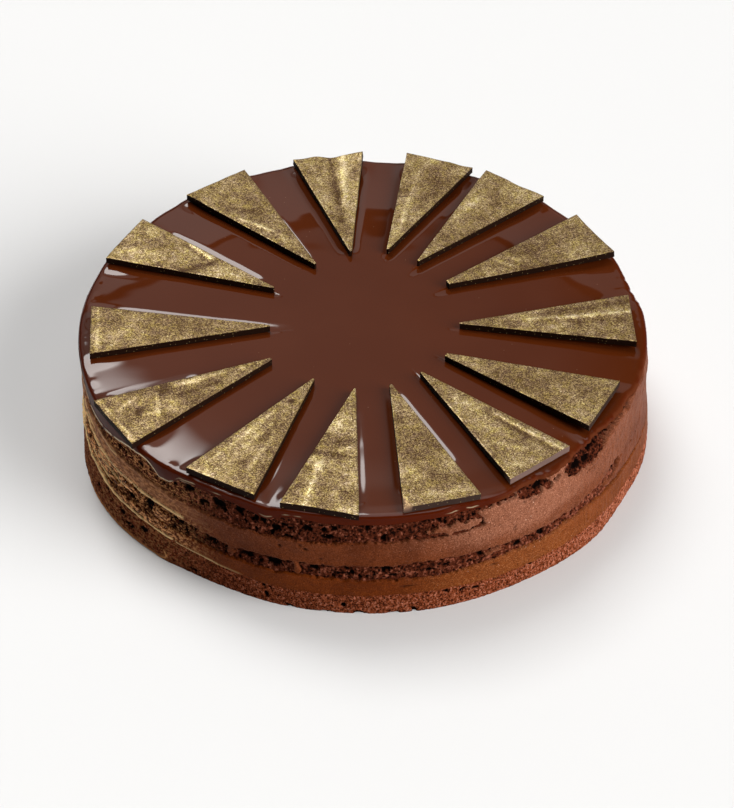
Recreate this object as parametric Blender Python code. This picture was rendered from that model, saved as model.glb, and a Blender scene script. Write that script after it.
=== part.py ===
"""A round chocolate orange layer cake: three sponges, two bands of mousse, a poured
glaze and fourteen gold-dusted chocolate plaques. Metres, +Z up, the cake's axis on Z."""

import math
import random

import bmesh
import bpy
from mathutils import Matrix, Vector

# The whole cake.
BASE_RADIUS = 0.1252         # side of the cake at the underside
TOP_RADIUS = 0.1228          # side of the cake under the glaze
TOP_SLIDE = -0.0015          # the top, and the plaques on it, have slid this far along X
SEGMENTS = 144               # points round every layer
GAP = 0.0003                 # air between pieces that touch

# The seams between the layers.
# Each seam is level in the middle of the cake. At the side it has waves all the way round,
# (height, number of waves, turn in degrees), and swells where the layers were pressed or
# cut unevenly, (height, where in degrees from +X, half width in degrees).
SEAMS = [
    {"height": 0.0000, "waves": [], "swells": []},
    {
        "height": 0.0086,
        "waves": [(0.0003, 3, 40), (0.0003, 8, 110)],
        "swells": [(0.0058, 220, 32), (0.0104, 186, 34), (-0.0008, 298, 14), (-0.0022, 336, 16)],
    },
    {
        "height": 0.0182,
        "waves": [(0.0005, 5, 60), (0.0003, 11, 10)],
        "swells": [(0.0049, 191, 25), (-0.0007, 289, 14), (0.0029, 318, 13)],
    },
    {
        "height": 0.0248,
        "waves": [(0.0005, 6, 250), (0.0003, 13, 90)],
        "swells": [(0.0050, 191, 23), (0.0030, 217, 30), (0.0030, 328, 24)],
    },
    {
        "height": 0.0383,
        "waves": [(0.0006, 7, 300), (0.0003, 12, 45)],
        "swells": [(-0.0032, 248, 24), (-0.0010, 287, 12), (0.0018, 318, 28)],
    },
    {"height": 0.0500, "waves": [], "swells": []},
]
LEVEL_SHARE = 0.62           # a seam is level inside this share of the radius

# The side.
OUTLINE_WAVES = [(0.0003, 2, 60), (0.0002, 3, 200), (0.0002, 7, 20), (0.0001, 11, 200)]
# Where the foot stands out or in, less and less towards the top: (outward, where in
# degrees, half width in degrees).
FOOT_SWELLS = [
    (-0.0010, 184, 12),
    (0.0016, 212, 26),
    (-0.0007, 243, 14),
    (-0.0012, 305, 22),
    (-0.0011, 334, 14),
]
SPONGE_SET_BACK = 0.0007     # the sponge stands behind the mousse by this much
CRUMB_DEPTH = 0.0012         # how deep the torn crumb goes in
CRUMB_HEIGHT = 0.0005        # how far a crumb wanders up or down
MOUSSE_BULGE = 0.0004
MOUSSE_RIPPLE = 0.0003

# The glaze.
GLAZE_TOP = 0.0526           # in the middle of the cake
CROWN = 0.0013               # the glaze is this much lower at its rim
CROWN_REACH = 0.040          # and begins to fall this far in from the rim
LIP_FOOT = 0.0484            # foot of the lip that hangs over the rim
LIP_EDGE = 0.0005            # the foot of the lip is rounded by this much
LIP_WAVES = [(0.0002, 5, 130), (0.0001, 11, 70), (0.0001, 23, 0)]
# Where the glaze ran further down the side: (drop, where in degrees, half width in degrees).
DRIPS = [
    (-0.0062, 206, 17),
    (-0.0052, 228.5, 5.5),
    (-0.0020, 250, 6),
    (-0.0006, 269, 14),
    (-0.0018, 37, 9),
    (-0.0034, 122, 7),
]
LIP_INSIDE = -0.0015         # inner and outer face of the lip, from the side of the cake
LIP_OUTSIDE = 0.0003
RIM_ROUNDING = 0.0024        # how far in the rim's rounding goes
RIM_DROP = 0.0012            # and how far down

# The plaques.
PLAQUE_LENGTH = 0.0764
PLAQUE_WIDTH = 0.0328
PLAQUE_THICKNESS = 0.0029
PLAQUE_TIP = 0.0011          # width of the blunt tip
PLAQUE_EDGE = 0.0003         # broken edge all round

# Each plaque was laid by hand: how far its tip is from the middle (mm), where round the
# cake the tip is (degrees from +X, counter-clockwise from above), how far the plaque is
# turned away from the radius there (degrees), how much longer it is than the mould's
# length (mm), how far its outer end is propped up (degrees), and how high its clockwise
# outer corner has curled up (mm).
PLAQUES = [
    (46.6, 266.5, -6.5, 0.0, 0.0, 0.0),
    (45.0, 285.4, 1.0, 0.0, 0.0, 0.0),
    (42.9, 305.0, 5.5, -0.5, 0.4, 0.0),
    (42.4, 326.5, 7.5, -2.0, 1.2, 0.0),
    (41.5, 357.0, 6.0, -0.5, 1.0, 0.0),
    (45.0, 35.6, -7.0, 0.5, 0.3, 1.3),
    (47.5, 60.2, -7.0, -1.0, 0.0, 0.0),
    (50.5, 78.4, -7.6, -3.0, 0.0, 0.0),
    (47.9, 97.3, 2.0, -3.3, 0.0, 1.5),
    (43.5, 119.5, 9.0, 0.5, 0.3, 0.0),
    (44.3, 152.3, 1.5, 0.5, 0.2, 0.0),
    (40.3, 188.5, -5.0, 1.8, 0.0, 0.0),
    (47.7, 216, -2.5, 1.5, 0.0, 0.0),
    (45.5, 243.5, -2.5, -0.5, 0.4, 0.0),
]
CURL_FROM = 0.45             # a curl starts this far along the plaque

# Finishes: colour, roughness, metallic.
FINISHES = {
    "sponge": ((0.060, 0.022, 0.012), 0.90, 0.0),
    "mousse": ((0.150, 0.060, 0.036), 0.50, 0.0),
    "glaze": ((0.080, 0.028, 0.018), 0.08, 0.0),
    "plaque": ((0.210, 0.160, 0.055), 0.45, 0.4),
}


def clear_scene():
    for item in list(bpy.data.objects):
        bpy.data.objects.remove(item)


def finish(name):
    """One Principled material for each finish of the cake."""
    made = bpy.data.materials.get(name)
    if made:
        return made
    made = bpy.data.materials.new(name)
    made.use_nodes = True
    shader = made.node_tree.nodes["Principled BSDF"]
    colour, roughness, metallic = FINISHES[name]
    shader.inputs["Base Color"].default_value = (*colour, 1.0)
    shader.inputs["Roughness"].default_value = roughness
    shader.inputs["Metallic"].default_value = metallic
    return made


def add_object(name, mesh, finish_name, smooth_degrees):
    """Turn a bmesh into a named object, shaded smooth up to an angle."""
    bmesh.ops.recalc_face_normals(mesh, faces=mesh.faces)
    data = bpy.data.meshes.new(name)
    mesh.to_mesh(data)
    mesh.free()
    data.materials.append(finish(finish_name))
    data.shade_smooth()
    data.set_sharp_from_angle(angle=math.radians(smooth_degrees))
    item = bpy.data.objects.new(name, data)
    bpy.context.scene.collection.objects.link(item)
    return item


def wave(terms, angle):
    """Sum of waves round the cake: (height, number of waves, turn in degrees)."""
    return sum(size * math.cos(count * angle - math.radians(turn)) for size, count, turn in terms)


def swell(places, angle):
    """Sum of smooth swells round the cake: (height, where, half width), both in degrees."""
    total = 0.0
    for size, where, half_width in places:
        away = abs((math.degrees(angle) - where + 180.0) % 360.0 - 180.0) / half_width
        if away < 1.0:
            total += size * (0.5 + 0.5 * math.cos(math.pi * away))
    return total


def seam_shift(seam, angle):
    """How far a seam stands above its own height, at the side of the cake."""
    return wave(seam["waves"], angle) + swell(seam["swells"], angle)


def side_radius(height, angle):
    """Where the side of the cake is, at a height and an angle."""
    share = height / SEAMS[-1]["height"]
    radius = BASE_RADIUS + (TOP_RADIUS - BASE_RADIUS) * share
    slide = TOP_SLIDE * share * math.cos(angle)
    foot = swell(FOOT_SWELLS, angle) * (1.0 - share)
    return radius + slide + foot + wave(OUTLINE_WAVES, angle)


def turned(profile):
    """Turn a profile of (radius, height) points once round Z and close both ends.

    Gives the mesh and, for each vertex, the profile point it belongs to."""
    mesh = bmesh.new()
    points = [mesh.verts.new((radius, 0.0, height)) for radius, height in profile]
    edges = [mesh.edges.new(pair) for pair in zip(points, points[1:])]
    bmesh.ops.spin(
        mesh,
        geom=points + edges,
        axis=(0.0, 0.0, 1.0),
        cent=(0.0, 0.0, 0.0),
        angle=2.0 * math.pi,
        steps=SEGMENTS,
        use_merge=True,
    )
    rims = [edge for edge in mesh.edges if edge.is_boundary]
    bmesh.ops.holes_fill(mesh, edges=rims, sides=0)
    place = {}
    for vertex in mesh.verts:
        reach = math.hypot(vertex.co.x, vertex.co.y)
        place[vertex] = min(
            range(len(profile)),
            key=lambda index: abs(profile[index][0] - reach) + abs(profile[index][1] - vertex.co.z),
        )
    return mesh, place


def move_to(vertex, radius, angle, height):
    vertex.co = Vector((radius * math.cos(angle), radius * math.sin(angle), height))


def layer(name, seam, offsets, finish_name, roughen, under_lip=0.0):
    """One layer between SEAMS[seam] and the seam above it.

    offsets holds the side's rows from the bottom up: (share of the height, distance in
    front of the side of the cake). roughen gives a row's random move (outward, up), and
    under_lip is the share of the height above which the side follows the glaze's lip."""
    below, above = SEAMS[seam], SEAMS[seam + 1]
    foot = below["height"] + (GAP / 2 if seam else 0.0)
    head = above["height"] - GAP / 2
    inside = BASE_RADIUS * LEVEL_SHARE
    rows = [(inside, foot, None)] if below["waves"] else []
    for share, offset in offsets:
        rows.append((BASE_RADIUS + offset, foot + (head - foot) * share, share))
    if above["waves"]:
        rows.append((inside, head, None))
    mesh, place = turned([(radius, height) for radius, height, _ in rows])
    draw = random.Random(name)
    for vertex in sorted(mesh.verts, key=lambda item: (place[item], math.atan2(item.co.y, item.co.x))):
        radius, height, share = rows[place[vertex]]
        angle = math.atan2(vertex.co.y, vertex.co.x)
        if share is None:
            continue
        outward, upward = roughen(draw, share)
        side = side_radius(height, angle)
        radius = side + radius - BASE_RADIUS + outward
        rise = seam_shift(below, angle) * (1.0 - share) + seam_shift(above, angle) * share
        rise *= (radius - inside) / (side - inside)
        drop = swell(DRIPS, angle) * lip_follow(share, under_lip)
        move_to(vertex, radius, angle, height + rise + drop + upward)
    return add_object(name, mesh, finish_name, 50)


def lip_follow(share, under_lip):
    """How much of a drip's drop a row of the side takes: all at the lip, none at the seams."""
    if not under_lip or share >= 1.0:
        return 0.0
    return min(1.0, share / under_lip)


def crumb(draw, share):
    """Torn sponge: pits inwards, and rows that wander between the two seams."""
    outward = -CRUMB_DEPTH * draw.random() ** 2
    upward = draw.uniform(-CRUMB_HEIGHT, CRUMB_HEIGHT)
    return outward, upward if 0.0 < share < 0.7 else 0.0


def ripple(draw, share):
    """Spread mousse: low, soft ripples."""
    return draw.uniform(-MOUSSE_RIPPLE, MOUSSE_RIPPLE) * (1.0 - abs(2.0 * share - 1.0)), 0.0


def sponge(name, seam):
    back = -SPONGE_SET_BACK
    rows = [(0.0, back), (0.33, back), (0.67, back), (1.0, back)]
    return layer(name, seam, rows, "sponge", crumb)


def top_sponge(name, seam):
    """The top sponge draws in under the lip of the glaze."""
    back = -SPONGE_SET_BACK
    behind_lip = LIP_INSIDE - GAP
    rows = [(0.0, back), (0.38, back), (0.74, back), (0.84, behind_lip), (1.0, behind_lip - GAP)]
    return layer(name, seam, rows, "sponge", crumb, under_lip=0.74)


def mousse(name, seam):
    rows = [(0.0, 0.0), (0.5, MOUSSE_BULGE), (1.0, 0.0)]
    return layer(name, seam, rows, "mousse", ripple)


def glaze():
    """A low crowned pour with a rounded rim, whose uneven lip hangs over the top sponge."""
    floor = SEAMS[-1]["height"] + GAP / 2
    middle = (LIP_INSIDE + LIP_OUTSIDE) / 2
    rim_top = GLAZE_TOP - CROWN
    rows = [
        (LIP_INSIDE, floor, 0.0),
        (LIP_INSIDE, LIP_FOOT + GAP, 1.0),
        (middle, LIP_FOOT, 1.0),
        (LIP_OUTSIDE, LIP_FOOT + LIP_EDGE, 1.0),
        (LIP_OUTSIDE, rim_top - RIM_DROP, 0.3),
        (LIP_OUTSIDE - 0.3 * RIM_ROUNDING, rim_top - 0.4 * RIM_DROP, 0.0),
        (LIP_OUTSIDE - RIM_ROUNDING, rim_top, 0.0),
        (LIP_OUTSIDE - 0.4 * CROWN_REACH, GLAZE_TOP - 0.35 * CROWN, 0.0),
        (LIP_OUTSIDE - CROWN_REACH, GLAZE_TOP, 0.0),
    ]
    mesh, place = turned([(TOP_RADIUS + offset, height) for offset, height, _ in rows])
    for vertex in mesh.verts:
        offset, height, hang = rows[place[vertex]]
        angle = math.atan2(vertex.co.y, vertex.co.x)
        height += hang * (wave(LIP_WAVES, angle) + swell(DRIPS, angle))
        move_to(vertex, side_radius(height, angle) + offset, angle, height)
    return add_object("glaze", mesh, "glaze", 60)


def plaque(number, tip_mm, tip_degrees, swing_degrees, longer_mm, propped_degrees, curl_mm):
    """A thin triangle of chocolate, blunt at the tip, lying on the glaze."""
    length = PLAQUE_LENGTH + longer_mm / 1000.0
    mesh = bmesh.new()
    outline = [
        (0.0, PLAQUE_TIP / 2),
        (0.0, -PLAQUE_TIP / 2),
        (length, -PLAQUE_WIDTH / 2),
        (length, PLAQUE_WIDTH / 2),
    ]
    face = mesh.faces.new([mesh.verts.new((x, y, 0.0)) for x, y in outline])
    raised = bmesh.ops.extrude_face_region(mesh, geom=[face])["geom"]
    upper = [item for item in raised if isinstance(item, bmesh.types.BMVert)]
    bmesh.ops.translate(mesh, verts=upper, vec=(0.0, 0.0, PLAQUE_THICKNESS))
    bmesh.ops.bevel(
        mesh,
        geom=list(mesh.edges),
        offset=PLAQUE_EDGE,
        segments=1,
        affect="EDGES",
    )
    if curl_mm:
        curl_corner(mesh, length, curl_mm / 1000.0)
    tip = math.radians(tip_degrees)
    reach = tip_mm / 1000.0
    at = Vector((TOP_SLIDE + reach * math.cos(tip), reach * math.sin(tip), GLAZE_TOP + GAP))
    item = add_object(f"plaque_{number:02d}", mesh, "plaque", 30)
    heading = Matrix.Rotation(math.radians(tip_degrees + swing_degrees), 4, "Z")
    prop = Matrix.Rotation(math.radians(-propped_degrees), 4, "Y")
    item.matrix_world = Matrix.Translation(at) @ heading @ prop
    return item


def curl_corner(mesh, length, rise):
    """Cut the plaque across and along, then bend its clockwise outer corner up."""
    across = [length * share for share in (CURL_FROM, 0.65, 0.85)]
    for x in across:
        bmesh.ops.bisect_plane(
            mesh, geom=mesh.verts[:] + mesh.edges[:] + mesh.faces[:], plane_co=(x, 0, 0), plane_no=(1, 0, 0)
        )
    for share in (-0.25, 0.10):
        bmesh.ops.bisect_plane(
            mesh,
            geom=mesh.verts[:] + mesh.edges[:] + mesh.faces[:],
            plane_co=(0, 0, 0),
            plane_no=(-share * PLAQUE_WIDTH, length, 0),
        )
    for vertex in mesh.verts:
        along = max(0.0, vertex.co.x / length - CURL_FROM) / (1.0 - CURL_FROM)
        to_corner = max(0.0, 0.10 - vertex.co.y / PLAQUE_WIDTH) / 0.60
        vertex.co.z += rise * along * to_corner**2


def build():
    clear_scene()
    sponge("sponge_bottom", 0)
    mousse("mousse_lower", 1)
    sponge("sponge_middle", 2)
    mousse("mousse_upper", 3)
    top_sponge("sponge_top", 4)
    glaze()
    for number, laid in enumerate(PLAQUES, start=1):
        plaque(number, *laid)


build()
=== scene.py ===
import math
import random

import bmesh
import bpy
import numpy as np
from mathutils import Matrix, Vector
from mathutils.bvhtree import BVHTree


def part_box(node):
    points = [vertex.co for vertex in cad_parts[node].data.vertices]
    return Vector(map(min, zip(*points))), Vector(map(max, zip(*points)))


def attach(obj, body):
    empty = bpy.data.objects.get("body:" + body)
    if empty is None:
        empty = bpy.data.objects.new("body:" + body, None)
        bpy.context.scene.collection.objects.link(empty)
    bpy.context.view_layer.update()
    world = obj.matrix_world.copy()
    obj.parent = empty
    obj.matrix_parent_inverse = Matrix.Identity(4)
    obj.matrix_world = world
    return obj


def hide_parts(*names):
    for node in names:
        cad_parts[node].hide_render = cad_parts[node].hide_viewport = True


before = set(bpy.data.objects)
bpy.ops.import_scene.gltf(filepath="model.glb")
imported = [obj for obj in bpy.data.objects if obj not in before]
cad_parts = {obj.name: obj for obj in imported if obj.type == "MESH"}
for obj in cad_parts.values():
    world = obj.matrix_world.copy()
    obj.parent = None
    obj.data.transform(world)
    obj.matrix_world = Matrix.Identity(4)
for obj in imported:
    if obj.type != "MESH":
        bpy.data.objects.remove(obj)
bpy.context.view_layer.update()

turn = 2 * math.pi
fewer = 1

# lengths in this script are in mm, and become metres where they enter a mesh
metre = 0.001


# picking and shaping by hand

def dropSelection():
    if bpy.context.object and bpy.context.object.mode != "OBJECT":
        bpy.ops.object.mode_set(mode="OBJECT")
    bpy.ops.object.select_all(action="DESELECT")


def workOn(piece):
    dropSelection()
    piece.select_set(True)
    bpy.context.view_layer.objects.active = piece


def pick(piece, kind, rule):
    # in edit mode: selects the edges or faces that the rule is true for
    bpy.ops.mesh.select_mode(type=kind)
    bpy.ops.mesh.select_all(action="DESELECT")
    shape = bmesh.from_edit_mesh(piece.data)
    parts = {"EDGE": shape.edges, "FACE": shape.faces}
    for part in parts[kind]:
        if rule(part):
            part.select_set(True)
    shape.select_flush_mode()
    bmesh.update_edit_mesh(piece.data)


def applyModifiers(piece):
    workOn(piece)
    for modifier in list(piece.modifiers):
        bpy.ops.object.modifier_apply(modifier=modifier.name)


def pointsOf(piece):
    flat = np.empty(len(piece.data.vertices) * 3, np.float32)
    piece.data.vertices.foreach_get("co", flat)
    return flat.reshape(-1, 3).astype(float) / metre


def setPoints(piece, points):
    piece.data.vertices.foreach_set("co", (points * metre).astype(np.float32).ravel())
    piece.data.update()


def paint(piece, name, values):
    # one number for each vertex, which the material reads
    layer = piece.data.attributes.new(name, "FLOAT", "POINT")
    layer.data.foreach_set("value", np.asarray(values, np.float32).ravel())


def paintTopFaces(piece, name):
    # 1 for each face that looks up, 0 for the others
    layer = piece.data.attributes.new(name, "FLOAT", "FACE")
    layer.data.foreach_set("value", [float(face.normal.z > 0.6) for face in piece.data.polygons])


def done(piece, slotName, material, nodes, painted):
    for name, values in painted.items():
        paint(piece, name, values)
    piece.data.shade_smooth()
    piece.data.materials.clear()
    piece.data.materials.append(material)
    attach(piece, "root")
    if nodes:
        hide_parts(*nodes)
    dropSelection()
    print(slotName, piece.name, len(piece.data.polygons))


# noise that is the same on each run

# large numbers that mix up the bits of a cell's place
scatter = (374761393, 668265263, 2147483647, 1274126177, 2246822519)


def cellRandom(cells, seed):
    h = seed * scatter[3] + sum(cells[..., axis] * scatter[axis] for axis in range(3))
    h = ((h ^ (h >> 13)) * scatter[3]) & 0xFFFFFFFF
    h = ((h ^ (h >> 16)) * scatter[4]) & 0xFFFFFFFF
    h = h ^ (h >> 13)
    return (h & 0xFFFFFF) / 0xFFFFFF


def smooth(low, high, values):
    t = np.clip((values - low) / (high - low), 0, 1)
    return t * t * (3 - 2 * t)


def softNoise(points, size, seed):
    # smooth noise from -1 to 1, with hills about as wide as the size
    p = points / size + seed * 7.31
    base = np.floor(p).astype(np.int64)
    f = p - base
    f = f * f * f * (f * (f * 6 - 15) + 10)
    total = 0
    for corner in range(8):
        step = np.array([corner & 1, corner >> 1 & 1, corner >> 2 & 1])
        share = np.prod(np.where(step == 1, f, 1 - f), axis=-1)
        total = total + share * cellRandom(base + step, seed)
    return total * 2 - 1


def roughNoise(points, size, seed, octaves=3):
    total, height = 0, 1
    for octave in range(octaves):
        turned = points[:, [1, 2, 0]] if octave % 2 else points
        total = total + height * softNoise(turned, size, seed + octave)
        size, height = size / 2.1, height * 0.5
    return total


def wave(points, term, seed=0):
    # noise as one term gives it: (height, size, seed, octaves); with one octave it is smooth
    height, size, ownSeed, octaves = term
    return height * roughNoise(points, size, seed + ownSeed, octaves)


def cellNoise(points, size, seed):
    # how far the nearest of a cloud of random dots is, in sizes, and a random number for that dot
    p = points / size
    base = np.floor(p).astype(np.int64)
    nearest = np.full(len(p), 9.0)
    label = np.zeros(len(p))
    for number in range(27):
        cell = base + np.array([number % 3 - 1, number // 3 % 3 - 1, number // 9 - 1])
        dot = cell + np.stack([cellRandom(cell, seed + k) for k in range(3)], axis=-1)
        away = np.linalg.norm(dot - p, axis=-1)
        closer = away < nearest
        nearest = np.where(closer, away, nearest)
        label = np.where(closer, cellRandom(cell, seed + 5), label)
    return nearest, label


# places round the cake and on its side

def onSide(angle, radius, height):
    return np.stack([radius * np.cos(angle), radius * np.sin(angle), height], axis=-1)


def angleOf(points):
    return np.arctan2(points[:, 1], points[:, 0])


def reachOf(points):
    return np.hypot(points[:, 0], points[:, 1])


def leftOf(direction):
    return np.array([-direction[1], direction[0]])


def awayFrom(angle, degrees):
    # degrees round the cake from a place, from -180 to 180
    return (np.degrees(angle) - degrees + 180) % 360 - 180


def hump(values, middle, width, power=2):
    # 1 at the middle and next to nothing past the width, with a flatter top the higher the power
    return np.exp(-np.abs((values - middle) / width) ** power)


def humps(angle, places):
    # humps round the cake, added up: (degrees, half width, power, size)
    return sum(size * hump(awayFrom(angle, where), 0, width, power) for where, width, power, size in places)


def oval(angle, height, place, power=1):
    # a soft-edged oval on the side, 1 at its middle: (degrees, height, half width in degrees, half height)
    where, level, halfWidth, halfHeight = place[:4]
    far = (awayFrom(angle, where) / halfWidth) ** 2 + ((height - level) / halfHeight) ** 2
    return np.exp(-far ** power)


def patches(angle, height, places):
    # ovals with a strength each, of which the strongest counts
    return np.max([place[4] * oval(angle, height, place, 1.6) for place in places], axis=0)


def readRound(angle, places, values):
    # a value between the places where it is known, once round the cake
    return np.interp(angle % turn, places, values, period=turn)


def readDegrees(angle, table):
    degrees, values = zip(*table)
    return readRound(angle, np.radians(degrees), values)


def besideEdge(spots, start, end):
    # how far each spot is from a straight edge, and where along the edge that is
    edge = end - start
    along = np.clip(((spots - start) @ edge) / (edge @ edge), 0, 1)
    return np.linalg.norm(spots - start - along[:, None] * edge, axis=1), along


# the cake's own measures, read from the frame

spokes = 144            # corners round each rim of the CAD layers
spokeAngles = np.arange(spokes) * turn / spokes


def cadPoints(name):
    return pointsOf(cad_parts[name])


def bySpoke(name, beyond):
    # a solid's points that lie further out than the given radius, in one group for each spoke
    points = cadPoints(name)
    points = points[reachOf(points) > beyond]
    spoke = np.round(angleOf(points) % turn / turn * spokes).astype(int) % spokes
    return [points[spoke == number] for number in range(spokes)]


def rim(name, upper):
    # one rim of a mousse layer: angle, height and radius of its corners, which all lie past 110 mm
    picked = []
    for points in bySpoke(name, 110):
        x, y, z = points[points[:, 2].argmax() if upper else points[:, 2].argmin()]
        picked.append((math.atan2(y, x) % turn, z, math.hypot(x, y)))
    return np.array(sorted(picked)).T


seams = [rim(name, upper) for name in ("mousse_lower", "mousse_upper") for upper in (False, True)]
glazeSpokes = bySpoke("glaze", 118)         # past 118 mm it has only the corners of its side
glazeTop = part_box("glaze")[1].z / metre
underGlaze = 50.0           # height of the flat that the glaze was poured on


def seam(number, angle):
    # height of a seam between two layers: 0 and 1 below and above the lower mousse, 2 and 3 the upper one
    return readRound(angle, *seams[number][:2])


def rimRadius(angle):
    return readRound(angle, spokeAngles, [reachOf(points).max() for points in glazeSpokes])


def lipFoot(angle):
    # how low the glaze hangs down the side
    return readRound(angle, spokeAngles, [points[:, 2].min() for points in glazeSpokes])


# where the side stands out or in a little: (degrees, height, half width in degrees, half height, mm)
swells = [(185, 28, 9, 16, -0.8), (229, 1, 2.6, 5, 0.6), (352, 12, 6, 8, 0.7), (352, 45, 6, 3.5, 0.9)]


def sideRadius(angle, height):
    # the smooth side of the cake, through the lowest and the highest mousse rim
    (lowAt, lowRadius), (highAt, highRadius) = [
        [readRound(angle, table[0], values) for values in table[1:]] for table in (seams[0], seams[3])
    ]
    radius = lowRadius + (highRadius - lowRadius) * (height - lowAt) / (highAt - lowAt)
    return radius + sum(place[4] * oval(angle, height, place) for place in swells)


tipDepth, endDepth = 0.9, 14            # how much of a plaque counts as its tip, and as its outer end


def plaqueFrame(number):
    # a plaque's tip, its clockwise and its other outer corner, and the CAD solid itself, for height
    node = f"plaque_{number:02d}"
    points = cadPoints(node)
    reach, flat = reachOf(points), points[:, :2]
    tip = flat[reach < reach.min() + tipDepth].mean(axis=0)
    heading = flat.mean(axis=0) - tip
    heading = heading / np.linalg.norm(heading)
    along = (flat - tip) @ heading
    far = flat[along > along.max() - endDepth]
    # a corner lies far out and far aside
    ahead, aside = (far - tip) @ heading * 0.55, (far - tip) @ leftOf(heading)
    faces = [tuple(face.vertices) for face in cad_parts[node].data.polygons]
    tree = BVHTree.FromPolygons([Vector(point) for point in points], faces)
    return tip, far[np.argmin(aside - ahead)], far[np.argmax(aside + ahead)], tree


plaques = {number: plaqueFrame(number) for number in range(1, 15)}


# materials: shader maths as Python sums

class Wire:
    # one output of a node; a sum on it adds a Math node
    def __init__(self, desk, socket):
        self.desk, self.socket = desk, socket

    def maths(self, operation, *values, held=False):
        return self.desk.add("ShaderNodeMath", {"operation": operation, "use_clamp": held}, values)

    def __add__(self, other):
        return self.maths("ADD", self, other)

    def __sub__(self, other):
        return self.maths("SUBTRACT", self, other)

    def __rsub__(self, other):
        return self.maths("SUBTRACT", other, self)

    def __mul__(self, other):
        return self.maths("MULTIPLY", self, other)

    __radd__ = __add__
    __rmul__ = __mul__

    def held(self):
        # never below 0 or above 1
        return self.maths("ADD", self, 0.0, held=True)

    def between(self, low, high):
        # 0 at low, 1 at high, smooth and held beyond them
        settings = {"interpolation_type": "SMOOTHSTEP", "clamp": True}
        return self.desk.add("ShaderNodeMapRange", settings, [self, low, high, 0.0, 1.0])

    def fading(self, low, high):
        # 1 at low, 0 at high
        return 1 - self.between(low, high)


class Desk:
    # where the nodes of a material, or of the world, are laid out
    def __init__(self, owner):
        self.owner = owner
        owner.use_nodes = True
        self.tree = owner.node_tree
        self.tree.nodes.clear()

    def add(self, kind, settings=None, inputs=None, output=0):
        node = self.tree.nodes.new(kind)
        for key, value in (settings or {}).items():
            setattr(node, key, value)
        pairs = inputs.items() if isinstance(inputs, dict) else enumerate(inputs or ())
        for key, value in pairs:
            if isinstance(value, Wire):
                self.tree.links.new(value.socket, node.inputs[key])
            else:
                node.inputs[key].default_value = value
        return Wire(self, node.outputs[output]) if len(node.outputs) else None

    def place(self, upward=1.0, turned=(0.0, 0.0, 0.0)):
        # object coordinates in mm; below 1, upward draws a pattern out in height
        where = self.add("ShaderNodeTexCoord", output="Object")
        scale = (1 / metre, 1 / metre, upward / metre)
        return self.add("ShaderNodeMapping", {}, {"Vector": where, "Scale": scale, "Rotation": turned})

    def drawnOut(self):
        # turned so that X runs along the side at the left, where a pattern gets three times as long
        where = self.place(turned=(0, 0.1, 1.05))
        return self.add("ShaderNodeMapping", {}, {"Vector": where, "Scale": (0.34, 1, 1)})

    def noise(self, where, size, detail=2.0, roughness=0.5):
        # clouds about as wide as the size, in mm
        inputs = {"Vector": where, "Scale": 1.0 / size, "Detail": detail, "Roughness": roughness}
        return self.add("ShaderNodeTexNoise", {"noise_dimensions": "3D"}, inputs)

    def cells(self, where, size, output="Distance"):
        return self.add("ShaderNodeTexVoronoi", {}, {"Vector": where, "Scale": 1.0 / size}, output)

    def painted(self, name):
        return self.add("ShaderNodeAttribute", {"attribute_name": name}, output="Fac")

    def mix(self, share, first, second, how="MIX"):
        first, second = [value if isinstance(value, Wire) else (*value, 1.0) for value in (first, second)]
        settings = {"data_type": "RGBA", "blend_type": how}
        return self.add("ShaderNodeMix", settings, {0: share, 6: first, 7: second}, 2)

    def coated(self, colour, *coats):
        # colours laid over the first one in turn: (share, colour)
        for share, coat in coats:
            colour = self.mix(share, colour, coat)
        return colour

    def bump(self, height, distance, strength=1.0):
        inputs = {"Height": height, "Distance": distance * metre, "Strength": strength}
        return self.add("ShaderNodeBump", {}, inputs)

    def surface(self, **inputs):
        inputs = {key.replace("_", " "): value for key, value in inputs.items()}
        self.add("ShaderNodeOutputMaterial", {}, [self.add("ShaderNodeBsdfPrincipled", {}, inputs)])
        return self.owner


def materialDesk(name):
    return Desk(bpy.data.materials.new(name))


# the sponges

spongeLook = {
    "spongeFine": {
        "dark": (0.034, 0.0062, 0.0020),
        "mid": (0.155, 0.0345, 0.0115),
        "light": (0.350, 0.122, 0.072),
        "size": 0.5,
        # golden: how much of the painted golden highlight the crumb takes at the left
        "golden": 0.35,
    },
    "spongeDark": {
        "dark": (0.0085, 0.0017, 0.0007),
        "mid": (0.066, 0.0135, 0.0052),
        "light": (0.215, 0.067, 0.038),
        "size": 0.8,
        "golden": 0.85,
    },
    # the golden tan is a painted highlight: golden light caught by crumbs and ridges at the left, and by the
    # bead at the foot
    "goldenGlint": (0.68, 0.305, 0.118),
    # the near-black is painted shade, for the insides of holes and pits
    "hole": (0.002125, 0.000425, 0.000175),
}


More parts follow.
